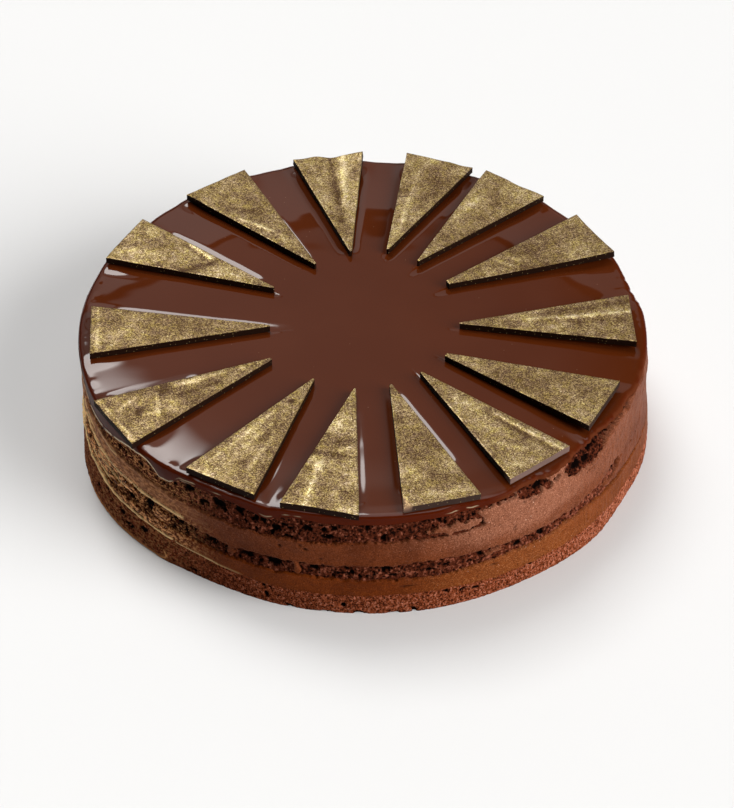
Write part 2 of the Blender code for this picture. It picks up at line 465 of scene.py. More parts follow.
def spongeMaterial(name):
    look = spongeLook[name]
    size = look["size"]
    desk = materialDesk(name)
    where = desk.place()
    grain = desk.noise(where, 1.5 * size, 3.0, 0.7)
    tall = desk.noise(desk.place(0.56), 2.2 * size, 2.0)
    amount = grain * 0.6 + tall * 0.4 + desk.painted("pale") * 0.06
    holes = desk.cells(where, 2.2 * size)
    glints = desk.noise(desk.drawnOut(), 0.85, 4.0, 0.7)
    colour = desk.coated(
        look["dark"],
        (amount.between(0.40, 0.50), look["mid"]),
        (amount.between(0.52, 0.63), look["light"]),
        # holes and pits painted near-black: painted shade
        (holes.fading(0.20, 0.40) * 0.9, spongeLook["hole"]),
        # painted golden highlights: glints on the crumb at the left, and a line along the bead at the foot
        (desk.painted("left") * glints.between(0.47, 0.60) * look["golden"], spongeLook["goldenGlint"]),
        (desk.painted("pit").between(0.15, 0.70), spongeLook["hole"]),
        (desk.painted("line"), spongeLook["goldenGlint"]),
    )
    relief = desk.bump(grain * 0.7 + holes * 0.5, 0.6 * size)
    return desk.surface(Base_Color=colour, Roughness=0.9, Normal=relief, Specular_IOR_Level=0.03)


# the plain disc that each layer is shaped from, in mm
blockRadius = 125
blockHeight = 10
sideColumns = 1440 // fewer


def roundBlock(name, columns, rows, insets, insetsAbove=()):
    # a closed disc, cut into rows up its side, with rings inset in both its faces, and more in the upper one;
    # also each vertex's angle, share of the height, and how far in from the side it stands
    dropSelection()
    bpy.ops.mesh.primitive_cylinder_add(
        vertices=columns,
        radius=blockRadius * metre,
        depth=blockHeight * metre,
        end_fill_type="NGON",
        location=(0, 0, blockHeight / 2 * metre),
    )
    block = bpy.context.object
    block.name = name
    bpy.ops.object.transform_apply(location=True, rotation=True, scale=True)
    bpy.ops.object.mode_set(mode="EDIT")
    pick(block, "EDGE", lambda edge: abs(edge.verts[0].co.z - edge.verts[1].co.z) > metre)
    bpy.ops.mesh.subdivide(number_cuts=rows - 1)
    for number, step in enumerate((*insets, *insetsAbove)):
        both = number < len(insets)
        pick(block, "FACE", lambda face: len(face.verts) > 4 and (both or face.normal.z > 0))
        bpy.ops.mesh.inset(thickness=step * metre, use_even_offset=False)
    bpy.ops.object.mode_set(mode="OBJECT")
    points = pointsOf(block)
    return block, angleOf(points), points[:, 2] / blockHeight, blockRadius - reachOf(points)


crumbMake = {
    "grain": 1.5,               # mm from one grain to the next, and from one hole to the next
    "hole": 3.0,
    "holeWidth": (0.16, 0.46),  # the narrowest and the widest hole, as a share of that
    "stray": (0.5, 1.7, 50, 1),
    "fine": (0.15, 1.0, 11, 2),
    "broad": (0.25, 8.0, 17, 1),
}


def crumb(points, seed, holed):
    # torn sponge: rounded grains with holes between them; gives mm outward, and how deep in a hole a point is
    make = crumbMake
    warped = points + np.stack([wave(points, make["stray"], seed + axis) for axis in range(3)], axis=-1)
    grain, label = cellNoise(warped, make["grain"], seed)
    hole, chance = cellNoise(warped * [1, 1, 0.75], make["hole"], seed + 60)
    narrowest, widest = make["holeWidth"]
    width = narrowest + (widest - narrowest) * chance
    pit = (1 - smooth(width * 0.5, width, hole)) * (chance > 1 - holed)
    rounded = 0.55 * (0.45 - grain) + 0.30 * (label - 0.5)
    return rounded + wave(points, make["fine"], seed) + wave(points, make["broad"], seed), pit


# the seams below and above, rows up the side, mm that it stands back, how coarse and how holed it is
spongeMake = {
    "sponge_bottom": {"seams": (None, 0), "rows": 26, "back": -0.2, "coarse": 0.4, "holed": 0.06, "seed": 3},
    "sponge_middle": {"seams": (1, 2), "rows": 20, "back": 0.9, "coarse": 0.9, "holed": 0.50, "seed": 5},
    "sponge_top": {"seams": (3, None), "rows": 32, "back": 0.8, "coarse": 1.0, "holed": 0.45, "seed": 8},
}
behindMousse = 0.8          # how far a sponge reaches past its seams
spongeWaves = {
    "holesAside": (0.9, 1.9, 41, 2),
    "holesUp": (0.7, 1.7, 43, 2),
    "grainsUp": (0.22, 1.1, 31, 1),
    "grainsAside": (0.22, 1.1, 37, 1),
}
# the big holes: (degrees, height, half width in degrees, half height, depth in mm)
bigHoles = {
    "sponge_bottom": [
        (286, 8.3, 0.7, 1.0, 1.3), (289.5, 7.4, 0.9, 0.9, 1.4), (292.3, 6.3, 0.8, 0.9, 1.3),
        (296, 8.8, 0.7, 1.2, 1.3), (304.5, 8.1, 0.5, 1.0, 1.0), (325.7, 7.0, 0.8, 0.8, 1.2),
        (329.2, 8.8, 0.7, 0.9, 1.2), (269.5, 0.2, 1.1, 0.9, 1.2), (276, 0.2, 1.2, 0.6, 1.0),
        (279.9, 0.8, 0.5, 1.2, 1.2), (263, 0.2, 1.6, 0.5, 0.8), (235.5, 2.4, 0.6, 0.8, 1.0),
        (256, 0.3, 0.9, 0.8, 0.9), (216, 9.5, 1.2, 1.6, 1.2), (218.5, 5.5, 1.6, 1.4, 1.2),
        (206.5, 7.0, 1.2, 1.6, 1.2), (223, 9.0, 1.0, 1.8, 1.0), (211, 12.0, 1.2, 1.4, 1.0),
    ],
    "sponge_middle": [
        (232, 24.5, 1.5, 2.0, 1.6), (235.5, 25.8, 1.5, 1.4, 1.6), (239.5, 22.2, 1.3, 1.7, 1.6),
        (244.5, 25.8, 1.2, 0.8, 1.4), (247.3, 22.0, 1.2, 1.8, 1.6), (251, 24.8, 0.6, 1.2, 1.4),
        (253, 22.0, 1.6, 2.0, 1.7), (258.5, 24.0, 0.8, 1.0, 1.4), (260.8, 22.6, 0.9, 1.8, 1.6),
        (266, 20.2, 1.6, 0.7, 1.3), (267, 24.0, 0.6, 1.2, 1.3), (274, 23.0, 0.7, 1.5, 1.4),
        (276, 19.7, 1.0, 0.8, 1.3), (278, 25.4, 0.8, 1.0, 1.3), (283, 20.6, 1.0, 0.8, 1.3),
        (286, 22.0, 0.8, 0.8, 1.2), (291, 20.2, 0.8, 0.8, 1.3), (301.5, 21.6, 1.0, 1.5, 1.4),
        (304, 23.4, 0.8, 1.4, 1.3), (307, 22.5, 0.8, 1.7, 1.3), (312, 24.7, 2.0, 0.6, 1.3),
        (317, 26.1, 1.2, 0.7, 1.3), (319.5, 25.3, 1.0, 0.8, 1.3), (224, 23.5, 1.6, 3.4, 1.6),
        (218, 21.0, 1.5, 1.2, 1.4), (331, 27.0, 2.6, 2.2, 2.0),
    ],
    "sponge_top": [
        (253, 40.2, 0.9, 1.9, 1.6), (250.5, 43.0, 0.5, 1.9, 1.4), (245.5, 44.0, 0.9, 1.9, 1.6),
        (263, 39.2, 1.5, 1.1, 1.6), (264.5, 44.5, 0.8, 1.5, 1.5), (271, 46.0, 0.5, 1.9, 1.4),
        (274.3, 39.6, 0.6, 1.6, 1.6), (277, 43.5, 0.5, 0.8, 1.3), (281.5, 47.0, 0.5, 1.5, 1.4),
        (285, 46.0, 0.6, 2.3, 1.6), (259, 43.0, 0.6, 1.5, 1.4), (256, 41.5, 0.8, 1.0, 1.4),
        (234, 45.4, 1.6, 2.0, 1.6), (241, 44.0, 1.5, 2.3, 1.6), (238, 42.0, 1.0, 1.0, 1.4),
        (248.5, 42.4, 0.5, 1.4, 1.3), (221, 42.0, 1.0, 1.2, 1.2), (215, 41.5, 1.4, 1.0, 1.2),
        (303, 49.0, 1.0, 1.2, 1.6), (306.5, 47.5, 1.0, 1.6, 1.6), (317, 46.0, 1.4, 1.5, 2.0),
        (320, 45.5, 1.6, 1.2, 2.0), (322.5, 48.0, 1.0, 1.6, 1.8), (296, 49.5, 1.2, 0.8, 1.3),
    ],
}
# how pale the crumb is, round the cake: (degrees, share), and the part that the top sponge takes of it
spongeRound = [
    (0, 0.5), (60, 0.3), (180, 0.2), (212, -0.5), (235, -0.5), (252, 0.0), (285, 0.15), (305, 0.45),
    (330, 1.0), (345, 0.9),
]
topPaleness = -0.6
# a thin bead of mousse along the foot at the left, with a curl at its end, coloured with a painted golden
# highlight: (degrees, height)
footBead = [
    (200, 1.2), (207, 0.8), (214, 0.9), (221, 0.8), (225, 0.5), (227.6, 0.6), (228.9, 1.6), (229.2, 3.0),
    (228.7, 4.4),
]
beadWidth, beadHeight = 0.40, 0.35


def footLine(angle, height):
    # 1 along the bead at the foot, 0 away from it
    total = np.zeros_like(angle)
    for (start, low), (end, high) in zip(footBead, footBead[1:]):
        spots = np.c_[np.radians(awayFrom(angle, start)) * blockRadius, height - low]
        run = np.array([math.radians(end - start) * blockRadius, high - low])
        total = np.maximum(total, hump(besideEdge(spots, np.zeros(2), run)[0], 0, beadWidth))
    return total


def makeSponge(node, material):
    make = spongeMake[node]
    seed, coarse = make["seed"], make["coarse"]
    block, angle, share, inward = roundBlock(node + "_crumb", sideColumns, make["rows"] // fewer, (4, 36))
    below, above = make["seams"]
    foot = np.zeros_like(angle) if below is None else seam(below, angle) - behindMousse
    head = np.full_like(angle, underGlaze) if above is None else seam(above, angle) + behindMousse
    height = foot + (head - foot) * share
    onRim = inward < 1
    smoothSide = sideRadius(angle, height)
    base = onSide(angle, smoothSide, height)
    outward, pit = crumb(base, seed, make["holed"])
    deep = 1.5 * pit
    strayAngle = angle + wave(base, spongeWaves["holesAside"], seed) / blockRadius
    strayHeight = height + wave(base, spongeWaves["holesUp"], seed)
    for place in bigHoles[node]:
        hole = oval(strayAngle, strayHeight, place, 1.8)
        pit = np.maximum(pit, hole)
        deep = np.maximum(deep, place[4] * hole)
    back = make["back"] + shoulder(node, angle, height)
    radius = np.where(onRim, smoothSide - back + outward * coarse - deep, smoothSide - inward)
    loose = coarse * onRim
    lift = loose * wave(base, spongeWaves["grainsUp"], seed) * (share > 0) * (share < 1)
    sway = loose * wave(base, spongeWaves["grainsAside"], seed) / smoothSide
    level = np.where(share < 0.5, foot.mean(), head.mean())
    height = np.where(inward > 20, level, height + lift)
    points = onSide(angle + sway, radius, height)
    beads = footLine(angle, height) * onRim * (node == "sponge_bottom")
    points[:, :2] *= (1 + beadHeight * beads / blockRadius)[:, None]
    setPoints(block, points)
    done(block, "sponge", material, [node], {
        # pit: where painted shade goes; left: where golden highlights are painted; line: a painted golden
        # highlight along the bead
        "pit": pit * onRim,
        "left": leftShare(angle),
        "line": beads,
        "pale": readDegrees(angle, spongeRound) * (topPaleness if node == "sponge_top" else 1),
    })


# the side at the left, where the smears are streaky and catch a golden light, and the one at the right
leftPart, rightPart = (207, 28, 6, 1), (322, 34, 4, 1)


def leftShare(angle):
    return humps(angle, [leftPart])


# where the glaze's rim is torn back and the crumb shows on the shoulder: (degrees, half width, how far in)
tornRim = [
    (322.5, 10.5, 3.4), (305, 4.5, 2.0), (290.5, 4, 0.9), (337, 3, 1.6), (15, 6, 1.5), (71, 5, 1.2),
    (150, 7, 1.4),
]


def tornBack(angle):
    return np.max([humps(angle, [(where, width, 3, depth)]) for where, width, depth in tornRim], axis=0)


def shoulder(node, angle, height):
    # the top sponge leans back where the rim is torn, and tucks in behind the lip elsewhere
    if node != "sponge_top":
        return 0
    torn = tornBack(angle)
    lean = torn * smooth(43.5, 49.5, height)
    tuck = 1.3 * smooth(lipFoot(angle) - 0.2, lipFoot(angle) + 0.9, height) * (torn < 0.8)
    return lean + tuck


# the mousse

mousseLook = {
    "lower": {
        "deep": (0.088, 0.0150, 0.0009),
        "mid": (0.124, 0.0230, 0.0018),
        "pale": (0.236, 0.068, 0.0150),
        "grain": (0.390, 0.165, 0.065),
    },
    "upper": {
        "deep": (0.084, 0.0165, 0.0026),
        "mid": (0.124, 0.0270, 0.0058),
        "pale": (0.248, 0.094, 0.052),
        "grain": (0.420, 0.190, 0.120),
    },
    # the golden tan is painted golden light on the streaks at the left
    "goldenGlint": (0.95, 0.455, 0.180),
    # the pale golden line is a painted highlight, for the crests of the spreader's ridges at the left
    "line": (0.95, 0.68, 0.32),
    # a painted sheen of golden light, for the smoother mousse at the left
    "paintedSheen": (0.315, 0.127, 0.056),
    "shade": (0.026, 0.0060, 0.0018),
    "glint": (0.80, 0.62, 0.50),
}
# how pale the mousse was dragged, round the cake: (degrees, share)
mousseRound = {
    "lower": [
        (0, 0.10), (200, 0.05), (276, 0.0), (290, 0.34), (300, 0.42), (312, 0.38), (322, 0.2), (345, 0.15),
    ],
    "upper": [
        (0, 0.2), (200, 0.2), (240, 0.08), (272, 0.02), (284, 0.22), (292, 0.6), (302, 0.74), (312, 0.66),
        (322, 0.3), (345, 0.16),
    ],
}

# mousse dragged over the sponges: (degrees, height, half width in degrees, half height, strength)
smears = [
    (308, 44, 18, 9.4, 1.0), (334, 43, 17, 10, 1.0), (358, 45, 16, 8, 1.0), (288, 41, 6, 2.6, 1.0),
    (243.5, 22.4, 1.5, 4, 0.9), (257, 22.4, 1.0, 4, 0.9), (296.5, 23, 3.4, 1.6, 0.7),
    (343, 23.4, 20, 6.5, 1.0), (211, 27, 9, 2.6, 1.0), (206, 22.5, 12, 3.0, 1.0), (192, 44, 9, 6, 1.0),
    (227.5, 23.4, 2.2, 3, 1.0), (219, 26, 2.6, 2.4, 1.0), (30, 24, 6, 5, 1.0), (62, 46, 9, 4, 1.0),
    (88, 24, 4, 4, 1.0), (110, 23, 12, 5, 1.0), (142, 45, 13, 7, 1.0), (163, 24, 5, 5, 1.0),
    (180, 42, 6, 4, 1.0),
]
# bare crumb inside the smears
bares = [
    (290, 47.6, 5.0, 2.4, 1.0), (297, 49.0, 3.4, 1.8, 1.0), (305, 48.0, 4.6, 4.6, 1.1),
    (320, 47.6, 6.4, 5.4, 1.15), (328.0, 50.2, 5.4, 3.0, 1.15), (329.6, 27.0, 2.8, 2.6, 1.25),
    (337.5, 49.6, 1.6, 1.6, 1.0), (222.5, 24, 2.6, 3.0, 1.0), (214.5, 24.5, 2.0, 1.6, 0.9),
    (258, 37.6, 7.5, 1.2, 0.9), (274.2, 39.2, 0.8, 1.6, 1.2), (311, 48.0, 0.9, 1.3, 1.1),
    (209, 19.5, 2.6, 1.0, 0.8), (204, 27, 2.4, 1.2, 0.8), (6, 48, 4, 2.5, 1.0), (150, 49, 6, 3, 1.0),
]


def mousseMaterial(name, look):
    desk = materialDesk(name)
    where = desk.place()
    light, streaky = desk.painted("pale"), desk.painted("left")
    clouds = desk.noise(where, 14.0, 3.0, 0.55)
    dusty = desk.noise(where, 1.1, 3.0, 0.65)
    drawn = desk.noise(desk.drawnOut(), 1.0, 5.0, 0.7)
    grit = desk.noise(where, 0.55, 2.0, 0.7)
    upright = desk.noise(desk.place(0.26), 1.7, 3.0, 0.55)
    specks = desk.cells(where, 2.6)
    glints = desk.cells(desk.place(turned=(0.3, 0.5, 0.1)), 3.6)
    colour = desk.coated(
        look["deep"],
        ((clouds * 0.65 + dusty * 0.35).between(0.38, 0.62), look["mid"]),
        ((light * (0.25 + upright * 0.9 + dusty * 0.6)).held(), look["pale"]),
        (grit.fading(0.35, 0.47) * 0.5, mousseLook["shade"]),
        (grit.between(0.55, 0.68) * (light * 1.1 + 0.1).held(), look["grain"]),
        # a painted sheen at the left
        (desk.painted("paintedSheen") * 0.6, mousseLook["paintedSheen"]),
        # at the left: painted shade between the streaks, and painted golden light on them
        (streaky * drawn.fading(0.38, 0.50) * 0.85, mousseLook["shade"]),
        (streaky * drawn.between(0.46, 0.60) * 0.9, mousseLook["goldenGlint"]),
        # a painted highlight on the ridge crests
        (desk.painted("crest") * dusty.between(0.25, 0.45), mousseLook["line"]),
        (specks.fading(0.05, 0.11) * 0.7, mousseLook["shade"]),
        (glints.fading(0.035, 0.07) * (light + streaky).held(), mousseLook["glint"]),
        # darker where the mousse is thin over the sponge, and painted shade in dents and broken bubbles
        (desk.painted("thin") * 0.85, spongeLook["spongeDark"]["dark"]),
    )
    relief = desk.bump(drawn * 0.45 + dusty * 0.35 + upright * light * 0.8, 0.36, 0.9)
    return desk.surface(
        Base_Color=colour, Roughness=0.62 - clouds * 0.25, Normal=relief, Specular_IOR_Level=0.05
    )


# the seams below and above, rows up the side, and how far it is spread past each seam
mousseMake = {
    "mousse_lower": {"seams": (0, 1), "rows": 30, "spread": (3.0, 3.0), "seed": 41, "look": "lower"},
    "mousse_upper": {"seams": (2, 3), "rows": 60, "spread": (8.0, 11.4), "seed": 47, "look": "upper"},
}
mousseTop = 51.6            # it is never spread higher than this
bareDepth = 4.0             # how far it lies behind the crumb of a sponge where that is bare
mousseWaves = {
    "edge": (0.55, 4.0, 0, 3),
    "edgeFine": (0.35, 1.3, 3, 1),
    "smearAside": (2.0, 3.2, 7, 3),
    "smearFarAside": (3.0, 9.0, 8, 1),
    "smearUp": (1.3, 2.6, 9, 3),
    "drag": (1, 1.6, 13, 3),
    "swirl": (0.16, 9.0, 19, 3),
    "upright": (0.16, 1.5, 29, 3),
    "ridge": (0.35, 7.0, 37, 1),
    "paler": (2.5, 11.0, 51, 1),
    "parting": (1.2, 4.0, 53, 1),
}

# thin raised edges that the spreader left: (first degrees, last degrees, height at first and at last, size)
spreaderRidges = {
    "mousse_lower": [
        (180, 203, 26.5, 18.8, 0.8), (203, 214, 18.8, 15.5, 0.8), (214, 231, 15.5, 13.6, 0.7),
        (231, 246, 13.2, 10.8, 0.35), (203, 212, 22.4, 20.6, 0.5),
    ],
    "mousse_upper": [
        (198, 205, 33.6, 31.2, 0.7), (205, 212, 31.2, 30.4, 0.8), (212, 223, 30.2, 28.9, 0.5),
        (222, 233, 29.4, 28.6, 0.7), (206, 218, 26.4, 24.2, 0.4), (196, 204, 37.5, 34.5, 0.5),
        (206, 214, 37.6, 36.6, 0.3),
    ],
}
# small dents: (degrees, height, half width in degrees, half height, depth)
dents = [
    (278.5, 13.8, 1.5, 0.45, 0.8), (296, 15.6, 0.9, 0.6, 0.7), (254, 32.0, 0.35, 0.7, 0.9),
    (259, 32.6, 0.45, 0.5, 1.1), (258, 34.0, 0.3, 0.5, 0.8), (262, 28.3, 0.3, 0.4, 0.7),
    (300.5, 31.2, 0.4, 1.4, 0.4), (305, 42.5, 0.7, 0.8, 0.5), (302.5, 43.4, 0.5, 0.6, 0.5),
    (297, 36, 0.5, 0.5, 0.4), (312.5, 16.8, 0.4, 0.4, 0.5),
]
# the ridge at the left that parts streaky mousse with painted golden streaks, below it, from smoother mousse
# with a painted sheen, above it: (degrees, height)
partedUpper = [(195, 34.5), (205, 31.5), (212, 30.6), (223, 29.4), (234, 28.6)]
partedLower = [(203, 19.0), (231, 13.6)]


def spreaderMarks(node, angle, height, base, seed):
    # for each ridge: the stretch of the side that it crosses, how far above it a place lies, and its size
    for start, end, first, last, size in spreaderRidges[node]:
        t = awayFrom(angle, start) / (end - start)
        line = first + (last - first) * t + wave(base, mousseWaves["ridge"], seed)
        yield smooth(-0.06, 0.04, t) * (1 - smooth(0.96, 1.06, t)), height - line, size


def hollows(angle, height, base, seed):
    # small dents, and bubbles that broke open
    dented = sum(place[4] * oval(angle, height, place, 1.5) for place in dents)
    bubble, label = cellNoise(base, 2.4, seed + 43)
    return dented + 0.35 * (1 - smooth(0.08, 0.16, bubble)) * (label > 0.55)


def smeared(angle, height, base, cover, seed):
    # over the sponges: dragged-out mousse, with bare crumb inside it
    aside = wave(base, mousseWaves["smearAside"], seed) + wave(base, mousseWaves["smearFarAside"], seed)
    strayAngle = angle + aside / blockRadius
    strayHeight = height + wave(base, mousseWaves["smearUp"], seed)
    dragged = smooth(0.30, 0.62, patches(strayAngle, strayHeight, smears))
    bare = smooth(0.30, 0.62, patches(strayAngle, strayHeight, bares))
    return np.maximum(cover, dragged) * (1 - bare)


def makeMousse(node, material):
    make = mousseMake[node]
    seed, look = make["seed"], make["look"]
    block, angle, share, inward = roundBlock(node + "_spread", sideColumns, make["rows"] // fewer, (6, 34))
    edgeLow, edgeHigh = [seam(number, angle) for number in make["seams"]]
    spreadDown, spreadUp = make["spread"]
    foot = edgeLow - spreadDown
    head = np.minimum(edgeHigh + spreadUp, mousseTop)
    height = foot + (head - foot) * share
    onRim = inward < 1
    smoothSide = sideRadius(angle, height)
    base = onSide(angle, smoothSide, height)
    wobble = wave(base * [1, 1, 0.3], mousseWaves["edge"], seed) + wave(base, mousseWaves["edgeFine"], seed)
    cover = smooth(-0.6, 0.25, np.minimum(height - edgeLow, edgeHigh - height) + wobble)
    if look == "upper":
        cover = smeared(angle, height, base, cover, seed)
    left = leftShare(angle)
    right = humps(angle, [rightPart])
    drag = wave(base * [0.25, 0.25, 1.0], mousseWaves["drag"], seed)
    swirl = wave(base * [1, 1, 1.6], mousseWaves["swirl"], seed)
    upright = wave(base * [1, 1, 0.35], mousseWaves["upright"], seed)
    skin = 0.12 + (0.08 + 0.20 * left) * drag * (1 - right) + swirl + upright * right
    crest = np.zeros_like(angle)
    degrees = np.degrees(angle) % 360
    # crest: where a painted highlight goes on the ridges, faded out past the left
    catching = 1 - smooth(238, 250, degrees)
    for stretch, above, size in spreaderMarks(node, angle, height, base, seed):
        ridge = stretch * hump(above, 0, 0.30 + 0.25 * size)
        skin = skin + size * ridge
        crest = np.maximum(crest, ridge * min(1.0, size * 1.7) * catching)
        cover = np.maximum(cover, stretch * hump(above, 0, 0.8))
    hollow = hollows(angle, height, base, seed)
    # bare places lie behind the crumb of the sponge
    recess = (bareDepth + shoulder("sponge_top", angle, height)) * (1 - cover)
    leaning = tornBack(angle) * smooth(47.0, 51.0, height) + 0.3 * smooth(50.2, 51.4, height)
    outward = skin - recess - hollow - leaning * cover
    radius = np.where(onRim, smoothSide + outward, smoothSide - inward)
    tucked = np.where(share < 0.5, edgeLow, edgeHigh)
    level = np.where(share < 0.5, edgeLow.mean(), edgeHigh.mean())
    height = np.where(inward > 20, level, np.where(onRim, height, tucked))
    setPoints(block, onSide(angle, radius, height))
    if look == "upper":
        parting = np.interp(degrees, *zip(*partedUpper)) - wave(base, mousseWaves["parting"], seed)
        smoother = smooth(-0.6, 1.4, height - parting)
        paler = 0.3 + 0.7 * smooth(28, 35, height + wave(base, mousseWaves["paler"], seed))
    else:
        smoother = 0.5 * smooth(-0.5, 0.5, np.interp(degrees, *zip(*partedLower)) - height)
        paler = 1
    done(block, "mousse", material, [node], {
        # thin also takes the dents and bubbles, where shade is painted; left carries painted golden streaks,
        # the share for the upper mousse a painted sheen, and crest a painted highlight
        "thin": ((1 - smooth(0.25, 0.85, cover) + hollow) * onRim).clip(0, 1),
        "pale": readDegrees(angle, mousseRound[look]) * paler,
        "left": left * (1 - 0.62 * smoother),
        "paintedSheen": left * smoother * (look == "upper"),
        "crest": crest * onRim,
    })


# the glaze

glazeLook = {
    "body": (0.064, 0.0118, 0.0018),
    "warm": (0.070, 0.0138, 0.0028),
    "edge": (0.058, 0.0068, 0.0008),
    "speck": (0.30, 0.16, 0.10),
    "smear": (0.079, 0.0188, 0.0066),
    # the pale line is a painted highlight on the lip
    "line": (0.95, 0.78, 0.50),
}

# how the skin of the glaze dips along a plaque's clockwise side, and along the other: depth, how far from the
# plaque the slope ends and begins, and the stretch of that side from the tip (0) to the outer end (1)
slightDip = (0.10, 0.0, 3.0, 0.0, 1.0)
glazeDips = {
    1: [(0.20, 0.0, 2.0, 0.1, 1.0), (0.20, 0.5, 3.6, 0.20, 0.95)],
    2: [(0.34, 0.0, 3.0, 0.1, 0.80), (0.42, 0.9, 3.7, 0.08, 0.66)],
    3: [(0.16, 0.0, 2.0, 0.0, 0.80), (0.10, 0.0, 3.0, 0.3, 1.0)],
    4: [(0.25, 0.0, 2.0, 0.0, 1.0), slightDip],
    5: [(0.20, 0.0, 2.0, 0.0, 1.0), slightDip],
    6: [(0.42, 0.0, 5.0, 0.0, 1.0), slightDip],
    7: [(0.50, 0.0, 5.5, 0.0, 1.0), slightDip],
    8: [(0.45, 0.0, 4.5, 0.0, 0.8), (0.25, 0.0, 3.0, 0.0, 1.0)],
    9: [(0.30, 0.0, 4.0, 0.1, 0.9), (0.45, 0.0, 5.0, 0.1, 0.9)],
    10: [(0.22, 0.9, 2.8, 0.1, 0.5), (0.45, 0.0, 4.5, 0.1, 1.0)],
    11: [(0.50, 2.4, 6.4, 0.15, 0.80), (0.30, 0.0, 2.6, 0.0, 1.0)],
    12: [(0.34, 2.9, 5.8, 0.02, 0.85), (0.25, 0.0, 2.4, 0.0, 0.9)],
    13: [(0.60, 2.6, 6.6, 0.45, 1.0), (0.25, 0.0, 2.4, 0.1, 1.0)],
    14: [(0.12, 0.0, 3.0, 0.1, 1.0), (0.30, 0.0, 3.2, 0.1, 0.9)],
}
glazeMake = {
    "columns": 900,
    "sideRows": 14,
    "edgeRings": (0.3, 0.5, 0.8, 1.2),          # insets in both faces, from the side inwards
    "fineRing": 1.1,        # insets in the top, down to the reach of the plaques' tips, then the rest
    "fineReach": 80,
    "innerRings": [4.0] * 9,
    "rimIn": 2.4,           # how far in the rim rounds over, and how deep
    "rimDeep": 1.15,
    "crown": 1.3,           # how much higher the middle stands than the rim, and how far in that is reached
    "crownReach": 40.0,
    "pile": 0.9,            # how far the end of a plaque presses the glaze up
    "wiped": [(294, 301), (348, 356)],          # where the side was smeared after the pour: begins, and ends
    # round the side: (degrees, half width, power, size)
    "sags": [(266, 16, 4, 0.5), (251.5, 1.8, 2, 1.4)],
    "drips": [(228.5, 2.8, 2, 0.8), (221.5, 2.0, 2, 0.5), (251.5, 1.6, 2, 0.4)],
    "lumps": [(226, 26, 4, 0.16)],
    "filledUp": [(284, 19, 10, 1)],
    "smearedIn": [(347, 7, 4, 0.6)],
    # where highlights are painted on the lip: a golden line at the left, and thin glints at the front
    "goldenHighlight": [(213, 19, 6, 1)],
    "glints": [(256, 6.5, 6, 1), (290, 3.5, 6, 1), (240, 8, 6, 1.5)],
}
glazeWaves = {
    "foot": (0.30, 6.0, 61, 3),
    "footFine": (0.15, 2.0, 67, 1),
    "torn": (0.3, 2.5, 71, 2),
    "skin": (0.05, 26.0, 73, 1),
    "skinFine": (0.022, 11.0, 79, 1),
    "lump": (1, 7.0, 83, 3),
    "dips": (0.25, 9.0, 107, 1),
    "smearedIn": (0.9, 4.0, 137, 3),
    "golden": (1, 4.0, 139, 3),
    "glints": (1, 4.0, 141, 1),
}


def glazeMaterial():
    desk = materialDesk("mirrorGlaze")
    where = desk.place()
    smear = desk.painted("smear")
    clouds = desk.noise(where, 45.0, 3.0, 0.5)
    rough = desk.noise(where, 1.6, 4.0, 0.65)
    smeared = (smear * 1.6 + (rough - 0.5) * 2.2 * smear).held()
    colour = desk.coated(
        glazeLook["body"],
        (clouds.between(0.3, 0.7), glazeLook["warm"]),
        (desk.painted("thin"), glazeLook["edge"]),
        (desk.cells(where, 7.0).fading(0.018, 0.03) * 0.6, glazeLook["speck"]),
        (smeared, glazeLook["smear"]),
        # painted highlights on the lip
        (desk.painted("line"), glazeLook["line"]),
    )
    ripples = desk.noise(where, 22.0, 2.0, 0.45) + rough * smear * 0.4
    return desk.surface(
        Base_Color=colour,
        Roughness=0.10 + smeared * 0.45,
        Coat_Weight=(1 - smeared * 0.85) * (1 - desk.painted("lip") * 0.88),
        Coat_Roughness=0.02,
        Coat_IOR=1.45,
        Specular_IOR_Level=0.0,
        Normal=desk.bump(ripples, 0.30, 0.25),
    )


def dips(spots):
    # the skin of the glaze is drawn down beside the plaques, most where it was still soft
    total = np.zeros(len(spots))
    for number, sides in glazeDips.items():
        tip, clockwise, counter, tree = plaques[number]
        near = np.flatnonzero(np.linalg.norm(spots - (tip + clockwise + counter) / 3, axis=1) < 70)
        here = spots[near]
        lies = (here - tip) @ leftOf((clockwise + counter) / 2 - tip)
        uneven = 1 + wave(np.c_[here, np.full(len(here), number * 9.0)], glazeWaves["dips"])
        for (depth, close, far, first, last), corner, side in zip(sides, (clockwise, counter), (-1, 1)):
            away, along = besideEdge(here, tip, corner)
            stretch = 1 - smooth(last - 0.04, last + 0.06, along)
            if first >= 0.05:
                stretch = stretch * smooth(first - 0.06, first + 0.04, along)
            hollow = depth * uneven * stretch * (1 - smooth(close, far, away))
            total[near] = np.maximum(total[near], hollow * smooth(-6, 0, lies * side))
    return total


def pressedUp(angle):
    # 1 where the outer end of a plaque presses the glaze up, and at the front, where the gaps filled up too
    total = humps(angle, glazeMake["filledUp"])
    for tip, clockwise, counter, tree in plaques.values():
        first, last = [math.degrees(math.atan2(corner[1], corner[0])) for corner in (clockwise, counter)]
        span = (last - first + 180) % 360 - 180
        total = np.maximum(total, humps(angle, [(first + span / 2, abs(span) / 2 + 1.4, 8, 1)]))
    return total


